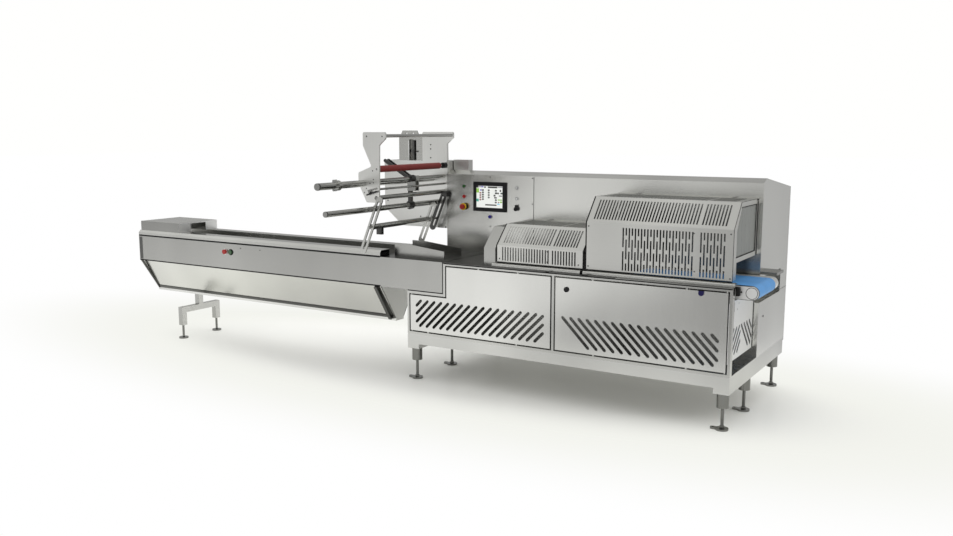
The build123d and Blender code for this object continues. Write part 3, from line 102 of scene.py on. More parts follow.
# Plastic and rubber
PLASTIC_TONES = (0.8, 1.25)
WEAR_SCALE = 14.0
WEAR_SHADE = 0.5
WEAR_SPREAD = 0.16
SKIN_SHADE = 0.2
SKIN_BUMP = 0.25
SKIN_DEPTH = 0.0003
PLASTIC_SHINE = 0.3

# Lenses, display, window and belt
LENS_TONES = (0.7, 1.3)
LENS_CELLS = 320.0
LENS_COAT = 0.6
LENS_ROUGHNESS = 0.12
LENS_SPREAD = 0.1
DOT_SCALE = 900.0
DOT_SHADE = 0.3
DOT_LEVEL = 0.6
DISPLAY_TONES = (0.8, 1.0)
DISPLAY_LIGHT = 0.95
DISPLAY_ROUGHNESS = 0.15
DISPLAY_SPREAD = 0.05
DARK_GLASS = (0.05, 0.05, 0.05)
PANE_GREY = (0.30, 0.31, 0.29)
PANE_CLEAR = (0.72, 0.74, 0.73)
PANE_WIPES = (4.0, 30.0, 9.0)
PANE_ROUGHNESS = 0.10
PANE_SPREAD = 0.12
PANE_COVER = 0.55
PANE_COVER_SPREAD = 0.2
BELT_BLUE = (0.10, 0.33, 0.70)
BELT_TONES = (0.75, 1.25)
BELT_WEAVE = (700.0, 260.0, 700.0)
BELT_STREAKS = (2.0, 40.0, 2.0)
BELT_STREAK_SHADE = 0.7
BELT_WEAVE_SHADE = 0.3
BELT_ROUGHNESS = 0.4
BELT_SPREAD = 0.2
BELT_BUMP = 0.3
BELT_DEPTH = 0.0005


class Value:
    """A shader socket that sums and products can be written with."""

    def __init__(self, maker, socket):
        self.maker = maker
        self.socket = socket

    def maths(self, kind, first, second=None):
        inputs = {0: first}
        if second is not None:
            inputs[1] = second
        return self.maker.node("ShaderNodeMath", {"operation": kind}, inputs)

    def __add__(self, other):
        return self.maths("ADD", self, other)

    def __sub__(self, other):
        return self.maths("SUBTRACT", self, other)

    def __rsub__(self, other):
        return self.maths("SUBTRACT", other, self)

    def __mul__(self, other):
        return self.maths("MULTIPLY", self, other)

    def __truediv__(self, other):
        return self.maths("DIVIDE", self, other)

    def __pow__(self, other):
        return self.maths("POWER", self, other)

    def __abs__(self):
        return self.maths("ABSOLUTE", self)

    def above(self, edge):
        return self.maths("GREATER_THAN", self, edge)

    def kept_above(self, least):
        return self.maths("MAXIMUM", self, least)

    def rounded(self):
        return self.maths("ROUND", self)

    def ramp(self, start, end, low=0.0, high=1.0):
        """Go smoothly from low to high while the value goes from start to end."""
        return self.maker.node("ShaderNodeMapRange", {"interpolation_type": "SMOOTHSTEP"},
                               {0: self, 1: start, 2: end, 3: low, 4: high})


class Maker:
    """A node tree that is filled through one method."""

    def __init__(self, tree):
        self.tree = tree
        tree.nodes.clear()

    def node(self, kind, settings=None, inputs=None, output=0):
        made = self.tree.nodes.new(kind)
        for name, setting in (settings or {}).items():
            setattr(made, name, setting)
        for place, content in (inputs or {}).items():
            if isinstance(content, Value):
                self.tree.links.new(content.socket, made.inputs[place])
            else:
                made.inputs[place].default_value = content
        return Value(self, made.outputs[output] if made.outputs else None)

    def split(self, vector):
        parts = self.node("ShaderNodeSeparateXYZ", None, {0: vector})
        outputs = parts.socket.node.outputs
        return [Value(self, outputs[i]) for i in range(3)]

    def ray(self, kind):
        return self.node("ShaderNodeLightPath", None, None, kind)

    def place(self):
        return self.node("ShaderNodeTexCoord", None, None, "Object")

    def noise(self, vector, scale, detail):
        inputs = {"Vector": vector, "Scale": scale, "Detail": detail}
        return self.node("ShaderNodeTexNoise", None, inputs, "Fac")

    def stretched_noise(self, factors, detail):
        vector = self.node("ShaderNodeVectorMath", {"operation": "MULTIPLY"}, {0: self.place(), 1: factors})
        return self.noise(vector, 1.0, detail)

    def blend(self, share, first, second):
        return self.node("ShaderNodeMix", {"data_type": "RGBA"}, {0: share, 6: first, 7: second}, 2)

    def bump(self, height, strength, distance):
        inputs = {"Strength": strength, "Distance": distance, "Height": height}
        return self.node("ShaderNodeBump", None, inputs)

    def mixed(self, share, first, second):
        return self.node("ShaderNodeMixShader", None, {0: share, 1: first, 2: second})

    def surface(self, inputs):
        return self.node("ShaderNodeBsdfPrincipled", None, inputs)

    def finish(self, shader, kind="ShaderNodeOutputMaterial"):
        self.node(kind, None, {"Surface": shader})


def colour(rgb):
    return (*rgb, 1.0)


def tones(rgb, shares):
    """The darker and the paler tone of a colour."""
    return [colour([min(1.0, c * share) for c in rgb]) for share in shares]


def new_material(name):
    material = bpy.data.materials.new(name)
    material.use_nodes = True
    return material, Maker(material.node_tree)


def brushed(name, rgb, grain, roughness=0.25, spread=0.10):
    """Brushed sheet: fine grain stretched along one axis, with broad soft bands in the polish."""
    material, m = new_material(name)
    lines = m.stretched_noise(grain, 4.0)
    bands = m.stretched_noise(BAND_STRETCH, 1.0)
    smears = m.stretched_noise(SMEAR_STRETCH, 5.0)
    shade = (lines - 0.5) * GRAIN_SHADE + (bands - 0.5) * BAND_SHADE + 0.5
    polish = (lines - 0.5) * spread + (smears - 0.5) * spread + roughness
    m.finish(m.surface({"Base Color": m.blend(shade, *tones(rgb, STEEL_TONES)), "Metallic": 1.0,
                        "Roughness": polish, "Normal": m.bump(lines, GRAIN_BUMP, GRAIN_DEPTH)}))
    return material


def panelled(name, rgb, grain, wall, pitch, foot, covers, covers_foot):
    """Brushed sheet: panels with seams and screws on its rear face, and painted shade behind the covers and
    beside the film unit on its front.
    """
    material, m = new_material(name)
    lines = m.stretched_noise(grain, 4.0)
    bands = m.stretched_noise(BAND_STRETCH, 1.0)
    x, y, z = m.split(m.place())
    rear = y.above(wall.back - SEAM_DEPTH)
    front = 1.0 - y.above(wall.front + SEAM_DEPTH)
    # Painted shade on the front face: darker towards the left end beside the film unit, and inside each
    # cover's span below its top
    painted_shade = x.ramp(wall.left, wall.left + FILM_SHADE_REACH, FILM_SHADE_DEPTH, 0.0)
    for left, right, top in covers:
        inside = x.ramp(left - COVER_EDGE, left + COVER_EDGE)
        inside = inside * x.ramp(right - COVER_EDGE, right + COVER_EDGE, 1.0, 0.0)
        painted_shade = painted_shade + inside * z.ramp(top - COVER_FADE, top, COVER_SHADE, 0.0)
    painted_shade = painted_shade * z.above(covers_foot)
    bay = (x - foot[0]) / pitch[0]
    from_seam = abs(bay - bay.rounded()) * pitch[0]
    row = (z - foot[1]) / pitch[1]
    from_row = abs(row - row.rounded()) * pitch[1]
    seam = from_seam.ramp(SEAM_HALF, SEAM_HALF * SEAM_FADE, 1.0, 0.0)
    to_screw = ((from_seam - SCREW_INSET) ** 2.0 + from_row ** 2.0) ** 0.5
    screw = to_screw.ramp(SCREW_RADIUS * SCREW_FADE, SCREW_RADIUS, 1.0, 0.0)
    shade = (lines - 0.5) * GRAIN_SHADE + (bands - 0.5) * WALL_BAND_SHADE + 0.5
    base = m.blend(shade - rear * (seam + screw) * SEAM_SHADE, *tones(rgb, STEEL_TONES))
    # Seams and screws on the rear face, and the painted shade on the front face, go towards near-black
    base = m.blend(rear * (seam + screw * SCREW_DARK) + front * painted_shade, base, colour(SEAM_AND_SHADE_DARK))
    normal = m.bump(lines * SEAM_GRAIN - rear * (seam - screw), SEAM_BUMP, SEAM_RELIEF)
    m.finish(m.surface({"Base Color": base, "Metallic": 1.0, "Normal": normal,
                        "Roughness": (lines - 0.5) * WALL_SPREAD + WALL_ROUGHNESS}))
    return material


def moulded(name, rgb, roughness, speck=260.0, coat=0.0):
    """Moulded plastic or rubber: a fine pebbled skin and a little wear in its shine."""
    material, m = new_material(name)
    skin = m.noise(m.place(), speck, 2.0)
    wear = m.noise(m.place(), WEAR_SCALE, 4.0)
    base = m.blend(wear * WEAR_SHADE + skin * SKIN_SHADE, *tones(rgb, PLASTIC_TONES))
    m.finish(m.surface({"Base Color": base, "Roughness": (wear - 0.5) * WEAR_SPREAD + roughness,
                        "Normal": m.bump(skin, SKIN_BUMP, SKIN_DEPTH), "Coat Weight": coat,
                        "Specular IOR Level": PLASTIC_SHINE}))
    return material


def lamp_lens(name, rgb, glow):
    """Coloured lens with a dimpled back and a weak light behind it."""
    material, m = new_material(name)
    cells = m.noise(m.place(), LENS_CELLS, 1.0)
    base = m.blend(cells, *tones(rgb, LENS_TONES))
    m.finish(m.surface({"Base Color": base, "Roughness": cells * LENS_SPREAD + LENS_ROUGHNESS,
                        "Coat Weight": LENS_COAT, "Emission Color": base, "Emission Strength": glow}))
    return material


def clear_pane(name):
    """Grey clear sheet with faint wipe marks."""
    material, m = new_material(name)
    wipes = m.stretched_noise(PANE_WIPES, 4.0)
    shine = m.surface({"Base Color": colour(PANE_GREY), "Roughness": wipes * PANE_SPREAD + PANE_ROUGHNESS})
    through = m.node("ShaderNodeBsdfTransparent", None, {0: colour(PANE_CLEAR)})
    m.finish(m.mixed(wipes * PANE_COVER_SPREAD + PANE_COVER, through, shine))
    return material


def lit_display(name, rgb):
    """Lit part of the screen, with a faint grid of picture dots."""
    material, m = new_material(name)
    dots = m.noise(m.place(), DOT_SCALE, 0.0)
    glow = m.blend(dots * DOT_SHADE + DOT_LEVEL, *tones(rgb, DISPLAY_TONES))
    polish = dots * DISPLAY_SPREAD + DISPLAY_ROUGHNESS
    m.finish(m.surface({"Base Color": colour(DARK_GLASS), "Roughness": polish, "Emission Color": glow,
                        "Emission Strength": DISPLAY_LIGHT}))
    return material


def woven_belt(name):
    """Blue conveyor belting with a fine woven face and worn paler streaks along its run."""
    material, m = new_material(name)
    weave = m.stretched_noise(BELT_WEAVE, 1.0)
    streaks = m.stretched_noise(BELT_STREAKS, 3.0)
    base = m.blend(streaks * BELT_STREAK_SHADE + weave * BELT_WEAVE_SHADE, *tones(BELT_BLUE, BELT_TONES))
    m.finish(m.surface({"Base Color": base, "Roughness": weave * BELT_SPREAD + BELT_ROUGHNESS,
                        "Normal": m.bump(weave, BELT_BUMP, BELT_DEPTH)}))
    return material


class Span:
    """The box of a node, by the names a fitter uses for its sides."""

    def __init__(self, node):
        low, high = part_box(node)
        self.left, self.front, self.bottom = low
        self.right, self.back, self.top = high

    def across(self, share):
        return self.left + (self.right - self.left) * share

    def deep(self, share):
        return self.front + (self.back - self.front) * share

    def up(self, share):
        return self.bottom + (self.top - self.bottom) * share


WALL = Span("wall_cabinet")
BASE = Span("base_cross_beams")
RAILS = Span("cabinet_rails")
DECK = Span("deck_plate")
SCREEN = Span("touch_screen")
DISPLAY = Span("touch_display")
BLUE_BUTTON = Span("blue_button")
CHROME_BUTTONS = Span("chrome_buttons")
CONTROLS = Span("black_controls")
LEFT_DOOR = Span("left_door")
RIGHT_DOOR = Span("right_door")
END_PANEL = Span("cabinet_right_end")
GUARD_RAILS = Span("guard_rails")
HOOD = Span("guard_end_hood")
LARGE_FRONT = Span("large_guard_front")
LARGE_TOP = Span("large_guard_top")
SMALL_FRONT = Span("small_guard_front")
SMALL_TOP = Span("small_guard_top")
WINDOW = Span("large_guard_window")
WINDOW_END = Span("large_guard_right_end")
BELT = Span("discharge_belt")
BELT_FRAME = Span("discharge_frame")
FRONT_PLATE = Span("front_film_plate")
REAR_PLATE = Span("rear_film_plate")
HOUSING = Span("film_housing")
TOWER = Span("film_tower")
ROLLER = Span("film_roller")
SPINDLE = Span("reel_spindle")
LOWER_SHAFT = Span("lower_shaft")
ARMS = Span("slotted_arms")
INFEED = Span("infeed_body")
INFEED_SIDES = Span("infeed_side_panels")
INFEED_RAILS = Span("infeed_rails")
TROUGH = Span("infeed_trough")
PAN = Span("infeed_pan")

# Places on the wall: pitch and foot of the rear panels, then left, right and top of what covers its front
REAR_PITCH = ((WALL.right - WALL.left) / 3, 0.36)
REAR_FOOT = (WALL.left, WALL.bottom + 0.06)
COVERS = ((HOOD.across(0.4), LARGE_FRONT.left, SMALL_TOP.top - 0.02),
          (LARGE_FRONT.left, LARGE_FRONT.right - 0.04, LARGE_TOP.top - 0.02))

# Grain along the machine, upright, and round a turned bar
ALONG = (3.0, 420.0, 420.0)
UPRIGHT = (420.0, 420.0, 3.0)
ROUND = (300.0, 4.0, 300.0)

# Finishes: colour as linear light, grain, roughness and its spread
steel_along = brushed("steel_along", (0.54, 0.54, 0.515), ALONG)
steel_upright = brushed("steel_upright", (0.54, 0.54, 0.515), UPRIGHT)
steel_wall = panelled("steel_wall", (0.70, 0.70, 0.67), ALONG, WALL, REAR_PITCH, REAR_FOOT, COVERS,
                      DECK.bottom)
steel_slope = brushed("steel_slope", (0.53, 0.53, 0.505), ALONG, 0.32)
steel_door = brushed("steel_door", (0.68, 0.68, 0.65), UPRIGHT, 0.22)
# Paler copy of the steel, as painted light on the discharge end and on faces towards it
steel_end_lit = brushed("steel_end_lit", (0.95, 0.95, 0.92), UPRIGHT, 0.5)
steel_guard = brushed("steel_guard", (0.66, 0.66, 0.63), ALONG, 0.32)
steel_plate = brushed("steel_plate", (0.80, 0.80, 0.77), UPRIGHT, 0.32)
steel_stand = brushed("steel_stand", (0.62, 0.62, 0.60), UPRIGHT, 0.34)
# Darker copy of the steel, as painted shade on the infeed's forward-facing sheets
steel_infeed_shaded = brushed("steel_infeed_shaded", (0.42, 0.42, 0.40), ALONG, 0.24)
# Paler copy of the steel, as a painted reflection of the floor on the infeed pan
steel_pan_lit = brushed("steel_pan_lit", (0.72, 0.72, 0.69), ALONG, 0.24)
steel_turned = brushed("steel_turned", (0.48, 0.48, 0.46), ROUND, 0.12, 0.06)
steel_leg = brushed("steel_leg", (0.21, 0.21, 0.20), ROUND, 0.12, 0.06)
steel_shaded = brushed("steel_shaded", (0.33, 0.33, 0.315), ALONG, 0.24)
# Dark steel for dark fittings, also used for the pan's painted shade strips
steel_dark_and_shade = brushed("steel_dark_and_shade", (0.13, 0.13, 0.125), ALONG, 0.34)
# Near-black steel, used as painted shade on cut edges and inner faces
steel_shade_black = brushed("steel_shade_black", (0.03, 0.03, 0.03), ALONG, 0.6)
steel_gunmetal = brushed("steel_gunmetal", (0.09, 0.09, 0.088), ROUND, 0.18, 0.08)
chrome = brushed("chrome", (0.80, 0.80, 0.79), ROUND, 0.10, 0.04)
black = moulded("black", (0.007, 0.007, 0.008), 0.42)
# Matte black for black parts, grooves, holes and seals, and for painted shadow lines
matte_black_and_shadow = moulded("matte_black_and_shadow", (0.006, 0.006, 0.006), 0.75)
red = moulded("red", (0.38, 0.012, 0.010), 0.28, coat=0.3)
yellow = moulded("yellow", (0.78, 0.50, 0.02), 0.3, coat=0.3)
green = lamp_lens("green", (0.02, 0.20, 0.04), 0.05)
bottle_green = lamp_lens("bottle_green", (0.012, 0.07, 0.012), 0.02)
blue = moulded("blue", (0.022, 0.014, 0.26), 0.35, coat=0.2)
navy = moulded("navy", (0.010, 0.008, 0.075), 0.4)
rubber = moulded("rubber", (0.17, 0.018, 0.016), 0.42, 180.0)
belt_blue = woven_belt("belt_blue")
pane = clear_pane("pane")
display = lit_display("display", (0.90, 0.92, 0.88))

SLOT_MATERIALS = {
    "stainless": steel_along, "dark_steel": steel_dark_and_shade, "black_plastic": black, "display": display,
    "green_plastic": green, "red_plastic": red, "yellow_plastic": yellow, "blue_plastic": blue,
    "chrome": chrome, "belt": belt_blue, "red_rubber": rubber, "window_pane": pane,
}
NODE_MATERIALS = {
    steel_upright: ("cabinet_posts", "cabinet_left_end", "film_housing", "slotted_arms"),
    steel_turned: ("film_bars", "lower_shaft", "reel_spindle", "cross_roller", "hinge_lugs"),
    steel_leg: ("levelling_legs",),
    steel_gunmetal: ("dancer_arm", "rear_film_arm"),
    steel_door: ("left_door", "right_door"),
    steel_plate: ("front_film_plate", "rear_film_plate"),
    steel_slope: ("large_guard_slope", "small_guard_slope"),
    navy: ("door_sensor",),
    steel_wall: ("wall_cabinet",),
    steel_shaded: ("deck_side_strips",),
    steel_dark_and_shade: ("deck_plate",),
    steel_pan_lit: ("infeed_pan",),
    steel_end_lit: ("cabinet_right_end", "discharge_frame"),
    steel_stand: ("infeed_stand", "roof_box", "base_long_beams", "base_cross_beams"),
    steel_infeed_shaded: ("infeed_side_panels", "infeed_body", "guard_end_hood", "forming_box"),
    steel_guard: ("large_guard_front", "large_guard_top", "small_guard_front", "small_guard_top",
                  "large_guard_right_end", "large_guard_left_end"),
}
special = {node: material for material, nodes in NODE_MATERIALS.items() for node in nodes}
for entry in frame["record"]["subparts"]:
    mesh = frame["nodes"][entry["node"]].data
    mesh.materials.clear()
    mesh.materials.append(special.get(entry["node"], SLOT_MATERIALS[entry["material_slot"]]))


def refinish(name, material, chosen):
    """Give another finish to the faces of a node that are chosen by face and corners."""
    mesh = frame["nodes"][name].data
    mesh.materials.append(material)
    for face in mesh.polygons:
        if chosen(face, [mesh.vertices[i].co for i in face.vertices]):
            face.material_index = len(mesh.materials) - 1


SQUARE_ON = 0.9
EDGE_ON = 0.5
AXLE_REACH = 0.010
FOOT_TOP = 0.121
ROLLER_AXIS = Vector((ROLLER.across(0.5), ROLLER.up(0.5)))


def looks_forward(face, corners):
    return face.normal.y < -SQUARE_ON


def looks_to_discharge(face, corners):
    return face.normal.x > SQUARE_ON


# The red roller's axle is bare steel, the belt's cut edges and the infeed's green button are dark
refinish("film_roller", steel_turned,
         lambda face, corners: max((c.xz - ROLLER_AXIS).length for c in corners) < AXLE_REACH)
refinish("discharge_belt", matte_black_and_shadow, lambda face, corners: abs(face.normal.y) > SQUARE_ON)
refinish("green_buttons", bottle_green, lambda face, corners: face.center.x < INFEED.right)

# The infeed's stand, pan and tail box: painted shade as a darker steel on the stand's and tail box's forward
# faces, painted light as a paler steel on the pan's and tail box's faces towards the discharge, and the
# pan's own paler steel on its forward faces; the stand's feet are darker
refinish("infeed_stand", steel_infeed_shaded, looks_forward)
refinish("infeed_stand", steel_leg, lambda face, corners: max(c.z for c in corners) < FOOT_TOP)
refinish("infeed_pan", steel_end_lit, looks_to_discharge)
refinish("infeed_pan", steel_pan_lit, looks_forward)
refinish("infeed_tail_box", steel_end_lit, looks_to_discharge)
refinish("infeed_tail_box", steel_shaded, looks_forward)

# The doors' cut edges, and the guards' cut edges and inner faces, get a near-black steel as painted shade
for name in ("left_door", "right_door"):
    refinish(name, steel_shade_black, lambda face, corners: abs(face.normal.y) < EDGE_ON)
for sheet, inward in (("front", (0, 1, 0)), ("slope", (0, 1, -1)), ("top", (0, 0, -1))):
    way = Vector(inward).normalized()
    for guard in ("large_guard", "small_guard"):
        refinish(f"{guard}_{sheet}", steel_shade_black, lambda face, corners: face.normal.dot(way) > -EDGE_ON)


MERGE_DISTANCE = 0.00002


class Piece:
    """A mesh of small fittings that ride on one body and share one finish."""

    def __init__(self, name, body, slot, material):
        self.name = name
        self.body = body
        self.slot = slot
        self.material = material
        self.mesh = bmesh.new()

    def block(self, low, high, edge=0.0):
        """A box between two corners, with its edges eased."""
        low, high = Vector(low), Vector(high)
        middle = Matrix.Translation((low + high) / 2)
        size = Matrix.Diagonal((*(high - low), 1.0))
        made = bmesh.ops.create_cube(self.mesh, size=1.0, matrix=middle @ size)
        if edge:
            edges = list({e for v in made["verts"] for e in v.link_edges})
            bmesh.ops.bevel(self.mesh, geom=edges, offset=edge, segments=2, profile=0.5, affect="EDGES",
                            material=-1)

    def bar(self, start, end, wide, tall, roll=0.0):
        """A square bar along the line between two points, rolled about that line."""
        start, end = Vector(start), Vector(end)
        line = end - start
        turn = line.to_track_quat("X", "Z").to_matrix().to_4x4() @ Matrix.Rotation(roll, 4, "X")
        size = Matrix.Diagonal((line.length, wide, tall, 1.0))
        middle = Matrix.Translation((start + end) / 2)
        bmesh.ops.create_cube(self.mesh, size=1.0, matrix=middle @ turn @ size)

    def turned(self, profile, place, turn, sides=24):
        """A turned shape from (radius, height) pairs, stood along the turned axis at a place."""
        matrix = Matrix.Translation(place) @ turn
        points = [self.mesh.verts.new(matrix @ Vector((r, 0.0, h))) for r, h in profile]
        edges = [self.mesh.edges.new(pair) for pair in zip(points, points[1:])]
        axis = turn.to_3x3() @ Vector((0.0, 0.0, 1.0))
        bmesh.ops.spin(self.mesh, geom=points + edges, cent=place, axis=axis, angle=2 * pi, steps=sides,
                       use_merge=True)

    def done(self):
        bmesh.ops.remove_doubles(self.mesh, verts=self.mesh.verts, dist=MERGE_DISTANCE)
        bmesh.ops.recalc_face_normals(self.mesh, faces=self.mesh.faces)
        data = bpy.data.meshes.new(self.name)
        self.mesh.to_mesh(data)
        self.mesh.free()
        data.materials.append(self.material)
        made = bpy.data.objects.new(self.name, data)
        scene.collection.objects.link(made)
        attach(made, self.body)


UP = Matrix.Identity(4)
TO_FRONT = Matrix.Rotation(radians(90), 4, "X")
TO_BACK = Matrix.Rotation(radians(-90), 4, "X")
TO_RIGHT = Matrix.Rotation(radians(90), 4, "Y")

# How far painted lines and thin marks stand out, and the sides of small round things
LINE_PROUD = 0.0006
FEW_SIDES = 12
SOME_SIDES = 16
MANY_SIDES = 40


def screw_head(radius, tall):
    """A low button-head screw with a socket in its top."""
    return ((0.0, tall * 0.55), (radius * 0.42, tall * 0.55), (radius * 0.45, tall), (radius * 0.72, tall),
            (radius, tall * 0.5), (radius, 0.0), (0.0, 0.0))


def disc(radius, tall):
    return ((0.0, tall), (radius, tall), (radius, 0.0), (0.0, 0.0))


def ring(inner, outer, tall):
    return ((inner, 0.0), (inner, tall), (outer, tall), (outer, 0.0), (inner, 0.0))


def thread(radius, depth, pitch, length):
    """The saw-tooth side of a threaded rod."""
    turns = int(length / pitch)
    teeth = [point for i in range(turns)
             for point in ((radius, i * pitch), (radius + depth, (i + 0.5) * pitch))]
    return [(0.0, 0.0), *teeth, (radius, turns * pitch), (0.0, turns * pitch)]


# Marks on the touch screen: colour, then (across, down, wide, tall) as shares of the display
SCREEN_MARKS = {
    "dark": ((0.012, 0.012, 0.008), [
        (0.0, 0.0, 0.08, 0.09), (0.30, 0.02, 0.06, 0.07), (0.44, 0.02, 0.36, 0.07),
        *[(0.21, 0.16 + 0.105 * i, 0.075, 0.07) for i in range(5)],
        *[(0.44, 0.16 + 0.11 * i, 0.065, 0.07) for i in range(4)],
        (0.71, 0.17, 0.07, 0.07), (0.89, 0.16, 0.05, 0.09), (0.71, 0.28, 0.08, 0.08),
        (0.80, 0.29, 0.06, 0.07), (0.92, 0.29, 0.08, 0.07), (0.66, 0.39, 0.07, 0.08),
        (0.86, 0.42, 0.12, 0.04), (0.68, 0.50, 0.10, 0.06), (0.71, 0.60, 0.07, 0.07),
        (0.71, 0.71, 0.07, 0.07), (0.34, 0.84, 0.43, 0.06)]),
    "grey": ((0.36, 0.36, 0.40), [(0.09, 0.01, 0.08, 0.06), (0.82, 0.02, 0.18, 0.05)]),
    "violet": ((0.16, 0.14, 0.50), [(0.18, 0.01, 0.09, 0.06), (0.14, 0.16, 0.06, 0.07)]),
    "green": ((0.30, 0.56, 0.08), [
        (0.0, 0.12, 0.10, 0.20), (0.82, 0.60, 0.16, 0.05), (0.90, 0.69, 0.08, 0.07)]),
    "teal": ((0.05, 0.36, 0.28), [(0.0, 0.60, 0.09, 0.13)]),
    "red": ((0.20, 0.02, 0.02), [
        *[(0.12, 0.29 + 0.105 * i, 0.06, 0.07) for i in range(4)], (0.83, 0.71, 0.04, 0.06)]),
    "cyan": ((0.30, 0.66, 0.80), [(0.80, 0.79, 0.09, 0.06)]),
}
for shade_name, (rgb, marks) in SCREEN_MARKS.items():
    piece = Piece(f"screen_{shade_name}_marks", "machine", "display", lit_display(f"lit_{shade_name}", rgb))
    wide, tall = DISPLAY.right - DISPLAY.left, DISPLAY.top - DISPLAY.bottom
    for across, down, mark_wide, mark_tall in marks:
        left, top = DISPLAY.left + across * wide, DISPLAY.top - down * tall
        piece.block((left, DISPLAY.front - LINE_PROUD, top - mark_tall * tall),
                    (left + mark_wide * wide, DISPLAY.front, top))
    piece.done()

# Control panel and infeed buttons: rims as (inner radius, outer radius, tall), grooves and dots
LEFT_COLUMN = SCREEN.left - 0.086
RIGHT_COLUMN = SCREEN.right + 0.088
PANEL_ROWS = (SCREEN.top - 0.038, SCREEN.top - 0.118, SCREEN.top - 0.196)
LAMP_RIM = (0.013, 0.016, 0.004)
CHROME_RIM = (0.013, 0.015, 0.003)
CHROME_GROOVE = (0.0080, 0.0120, LINE_PROUD)
BLUE_RIM = (0.013, 0.0155, 0.003)
RED_RIM = (0.0205, 0.0235, 0.004)
GREEN_RIM = (0.0205, 0.0258, 0.004)
RED_PLACE = INFEED.left + 1.101
GREEN_PLACE = INFEED.left + 1.166
INFEED_BUTTON_HEIGHT = INFEED_SIDES.top - 0.075
PANEL_DOTS = (GREEN_PLACE + 0.117, GREEN_PLACE + 0.340)
DOT_HEIGHT = INFEED_BUTTON_HEIGHT + 0.040
DOT_RADIUS = 0.005

bezels = Piece("button_bezels", "machine", "chrome", chrome)
button_grooves = Piece("button_grooves", "machine", "black_plastic", matte_black_and_shadow)
for height in PANEL_ROWS[:2]:
    bezels.turned(ring(*LAMP_RIM), (LEFT_COLUMN, WALL.front, height), TO_FRONT)
    bezels.turned(ring(*CHROME_RIM), (RIGHT_COLUMN, WALL.front, height), TO_FRONT)
    button_grooves.turned(ring(*CHROME_GROOVE), (RIGHT_COLUMN, CHROME_BUTTONS.front, height), TO_FRONT)
bezels.turned(ring(*BLUE_RIM), (BLUE_BUTTON.across(0.5), WALL.front, BLUE_BUTTON.up(0.5)), TO_FRONT)
bezels.turned(ring(*RED_RIM), (RED_PLACE, INFEED_SIDES.front, INFEED_BUTTON_HEIGHT), TO_FRONT)
button_grooves.turned(ring(*GREEN_RIM), (GREEN_PLACE, INFEED_SIDES.front, INFEED_BUTTON_HEIGHT), TO_FRONT)
for place in PANEL_DOTS:
    button_grooves.turned(disc(DOT_RADIUS, LINE_PROUD), (place, INFEED_SIDES.front, DOT_HEIGHT), TO_FRONT,
                          FEW_SIDES)
bezels.done()
button_grooves.done()

POINTER_HALF = 0.005
POINTER_DROP = 0.010
POINTER_RISE = 0.031
POINTER_PROUD = 0.001
EASED = 0.001
pointer = Piece("selector_pointer", "machine", "black_plastic", black)
pointer.block((RIGHT_COLUMN - POINTER_HALF, CONTROLS.front - POINTER_PROUD, PANEL_ROWS[2] - POINTER_DROP),
              (RIGHT_COLUMN + POINTER_HALF, WALL.front, PANEL_ROWS[2] + POINTER_RISE), EASED)
pointer.done()

# Holes in the film plates, as (from the left, from the top, radius)
HOLE_PROUD = 0.0005
FRONT_HOLES = ((0.080, -0.030, 0.0055), (0.218, -0.030, 0.0050), (0.130, -0.272, 0.0045),
               (0.135, -0.334, 0.0040), (0.104, -0.362, 0.0050), (0.134, -0.357, 0.0045),
               (0.071, -0.399, 0.0045), (0.053, -0.429, 0.0040))
REAR_HOLE = 0.0055
REAR_HOLES = [(x, z, REAR_HOLE) for x, z in (
    (0.462, -0.100), (0.461, -0.134), (0.461, -0.203), (0.535, -0.749), (0.601, -0.750), (0.359, -0.676),
    (0.442, -0.649), (0.030, -0.320), (0.030, -0.560))]
BAR_END = (FRONT_PLATE.right - 0.0905, FRONT_PLATE.front, FRONT_PLATE.bottom + 0.033)
BAR_END_RADIUS = 0.012
BAR_END_TALL = 0.008
BAR_END_GROOVE = (BAR_END_RADIUS, BAR_END_RADIUS + 0.003, 0.0008)
holes = Piece("plate_holes", "machine", "black_plastic", matte_black_and_shadow)
for plate, drilled in ((FRONT_PLATE, FRONT_HOLES), (REAR_PLATE, REAR_HOLES)):
    for x, z, radius in drilled:
        holes.turned(disc(radius, HOLE_PROUD), (plate.left + x, plate.front, plate.top + z), TO_FRONT,
                     SOME_SIDES)
holes.turned(ring(*BAR_END_GROOVE), BAR_END, TO_FRONT)
holes.done()

# Bolts on the film unit and the clamp lever, whose ends lie at (across, up) from its hub
ARM_BOLT = (LOWER_SHAFT.across(0.5) + 0.043, ARMS.front, LOWER_SHAFT.up(0.5) + 0.023)
ARM_BOLT_HEAD = (0.009, 0.006)
LEVER_HUB = Vector((FRONT_PLATE.left + 0.108, FRONT_PLATE.front, FRONT_PLATE.bottom + 0.076))
HUB_PROFILE = ((0.0, 0.020), (0.008, 0.020), (0.011, 0.014), (0.011, 0.0), (0.0, 0.0))
LEVER_OUT = -0.014
LEVER_STEEL = ((-0.012, 0.010), (0.050, 0.024))
LEVER_STEEL_SIZE = (0.008, 0.009)
LEVER_GRIP = ((-0.024, -0.022), (0.064, 0.006))
LEVER_GRIP_SIZE = (0.011, 0.010)
plate_bolts = Piece("plate_bolts", "machine", "stainless", steel_turned)
plate_bolts.turned(screw_head(BAR_END_RADIUS, BAR_END_TALL), BAR_END, TO_FRONT)
plate_bolts.turned(screw_head(*ARM_BOLT_HEAD), ARM_BOLT, TO_FRONT)
plate_bolts.turned(HUB_PROFILE, LEVER_HUB, TO_FRONT)
clamp_lever = Piece("clamp_lever", "machine", "black_plastic", black)
for piece, ends, size in ((plate_bolts, LEVER_STEEL, LEVER_STEEL_SIZE),
                          (clamp_lever, LEVER_GRIP, LEVER_GRIP_SIZE)):
    start, end = [LEVER_HUB + Vector((x, LEVER_OUT, z)) for x, z in ends]
    piece.bar(start, end, *size)
    piece.done()

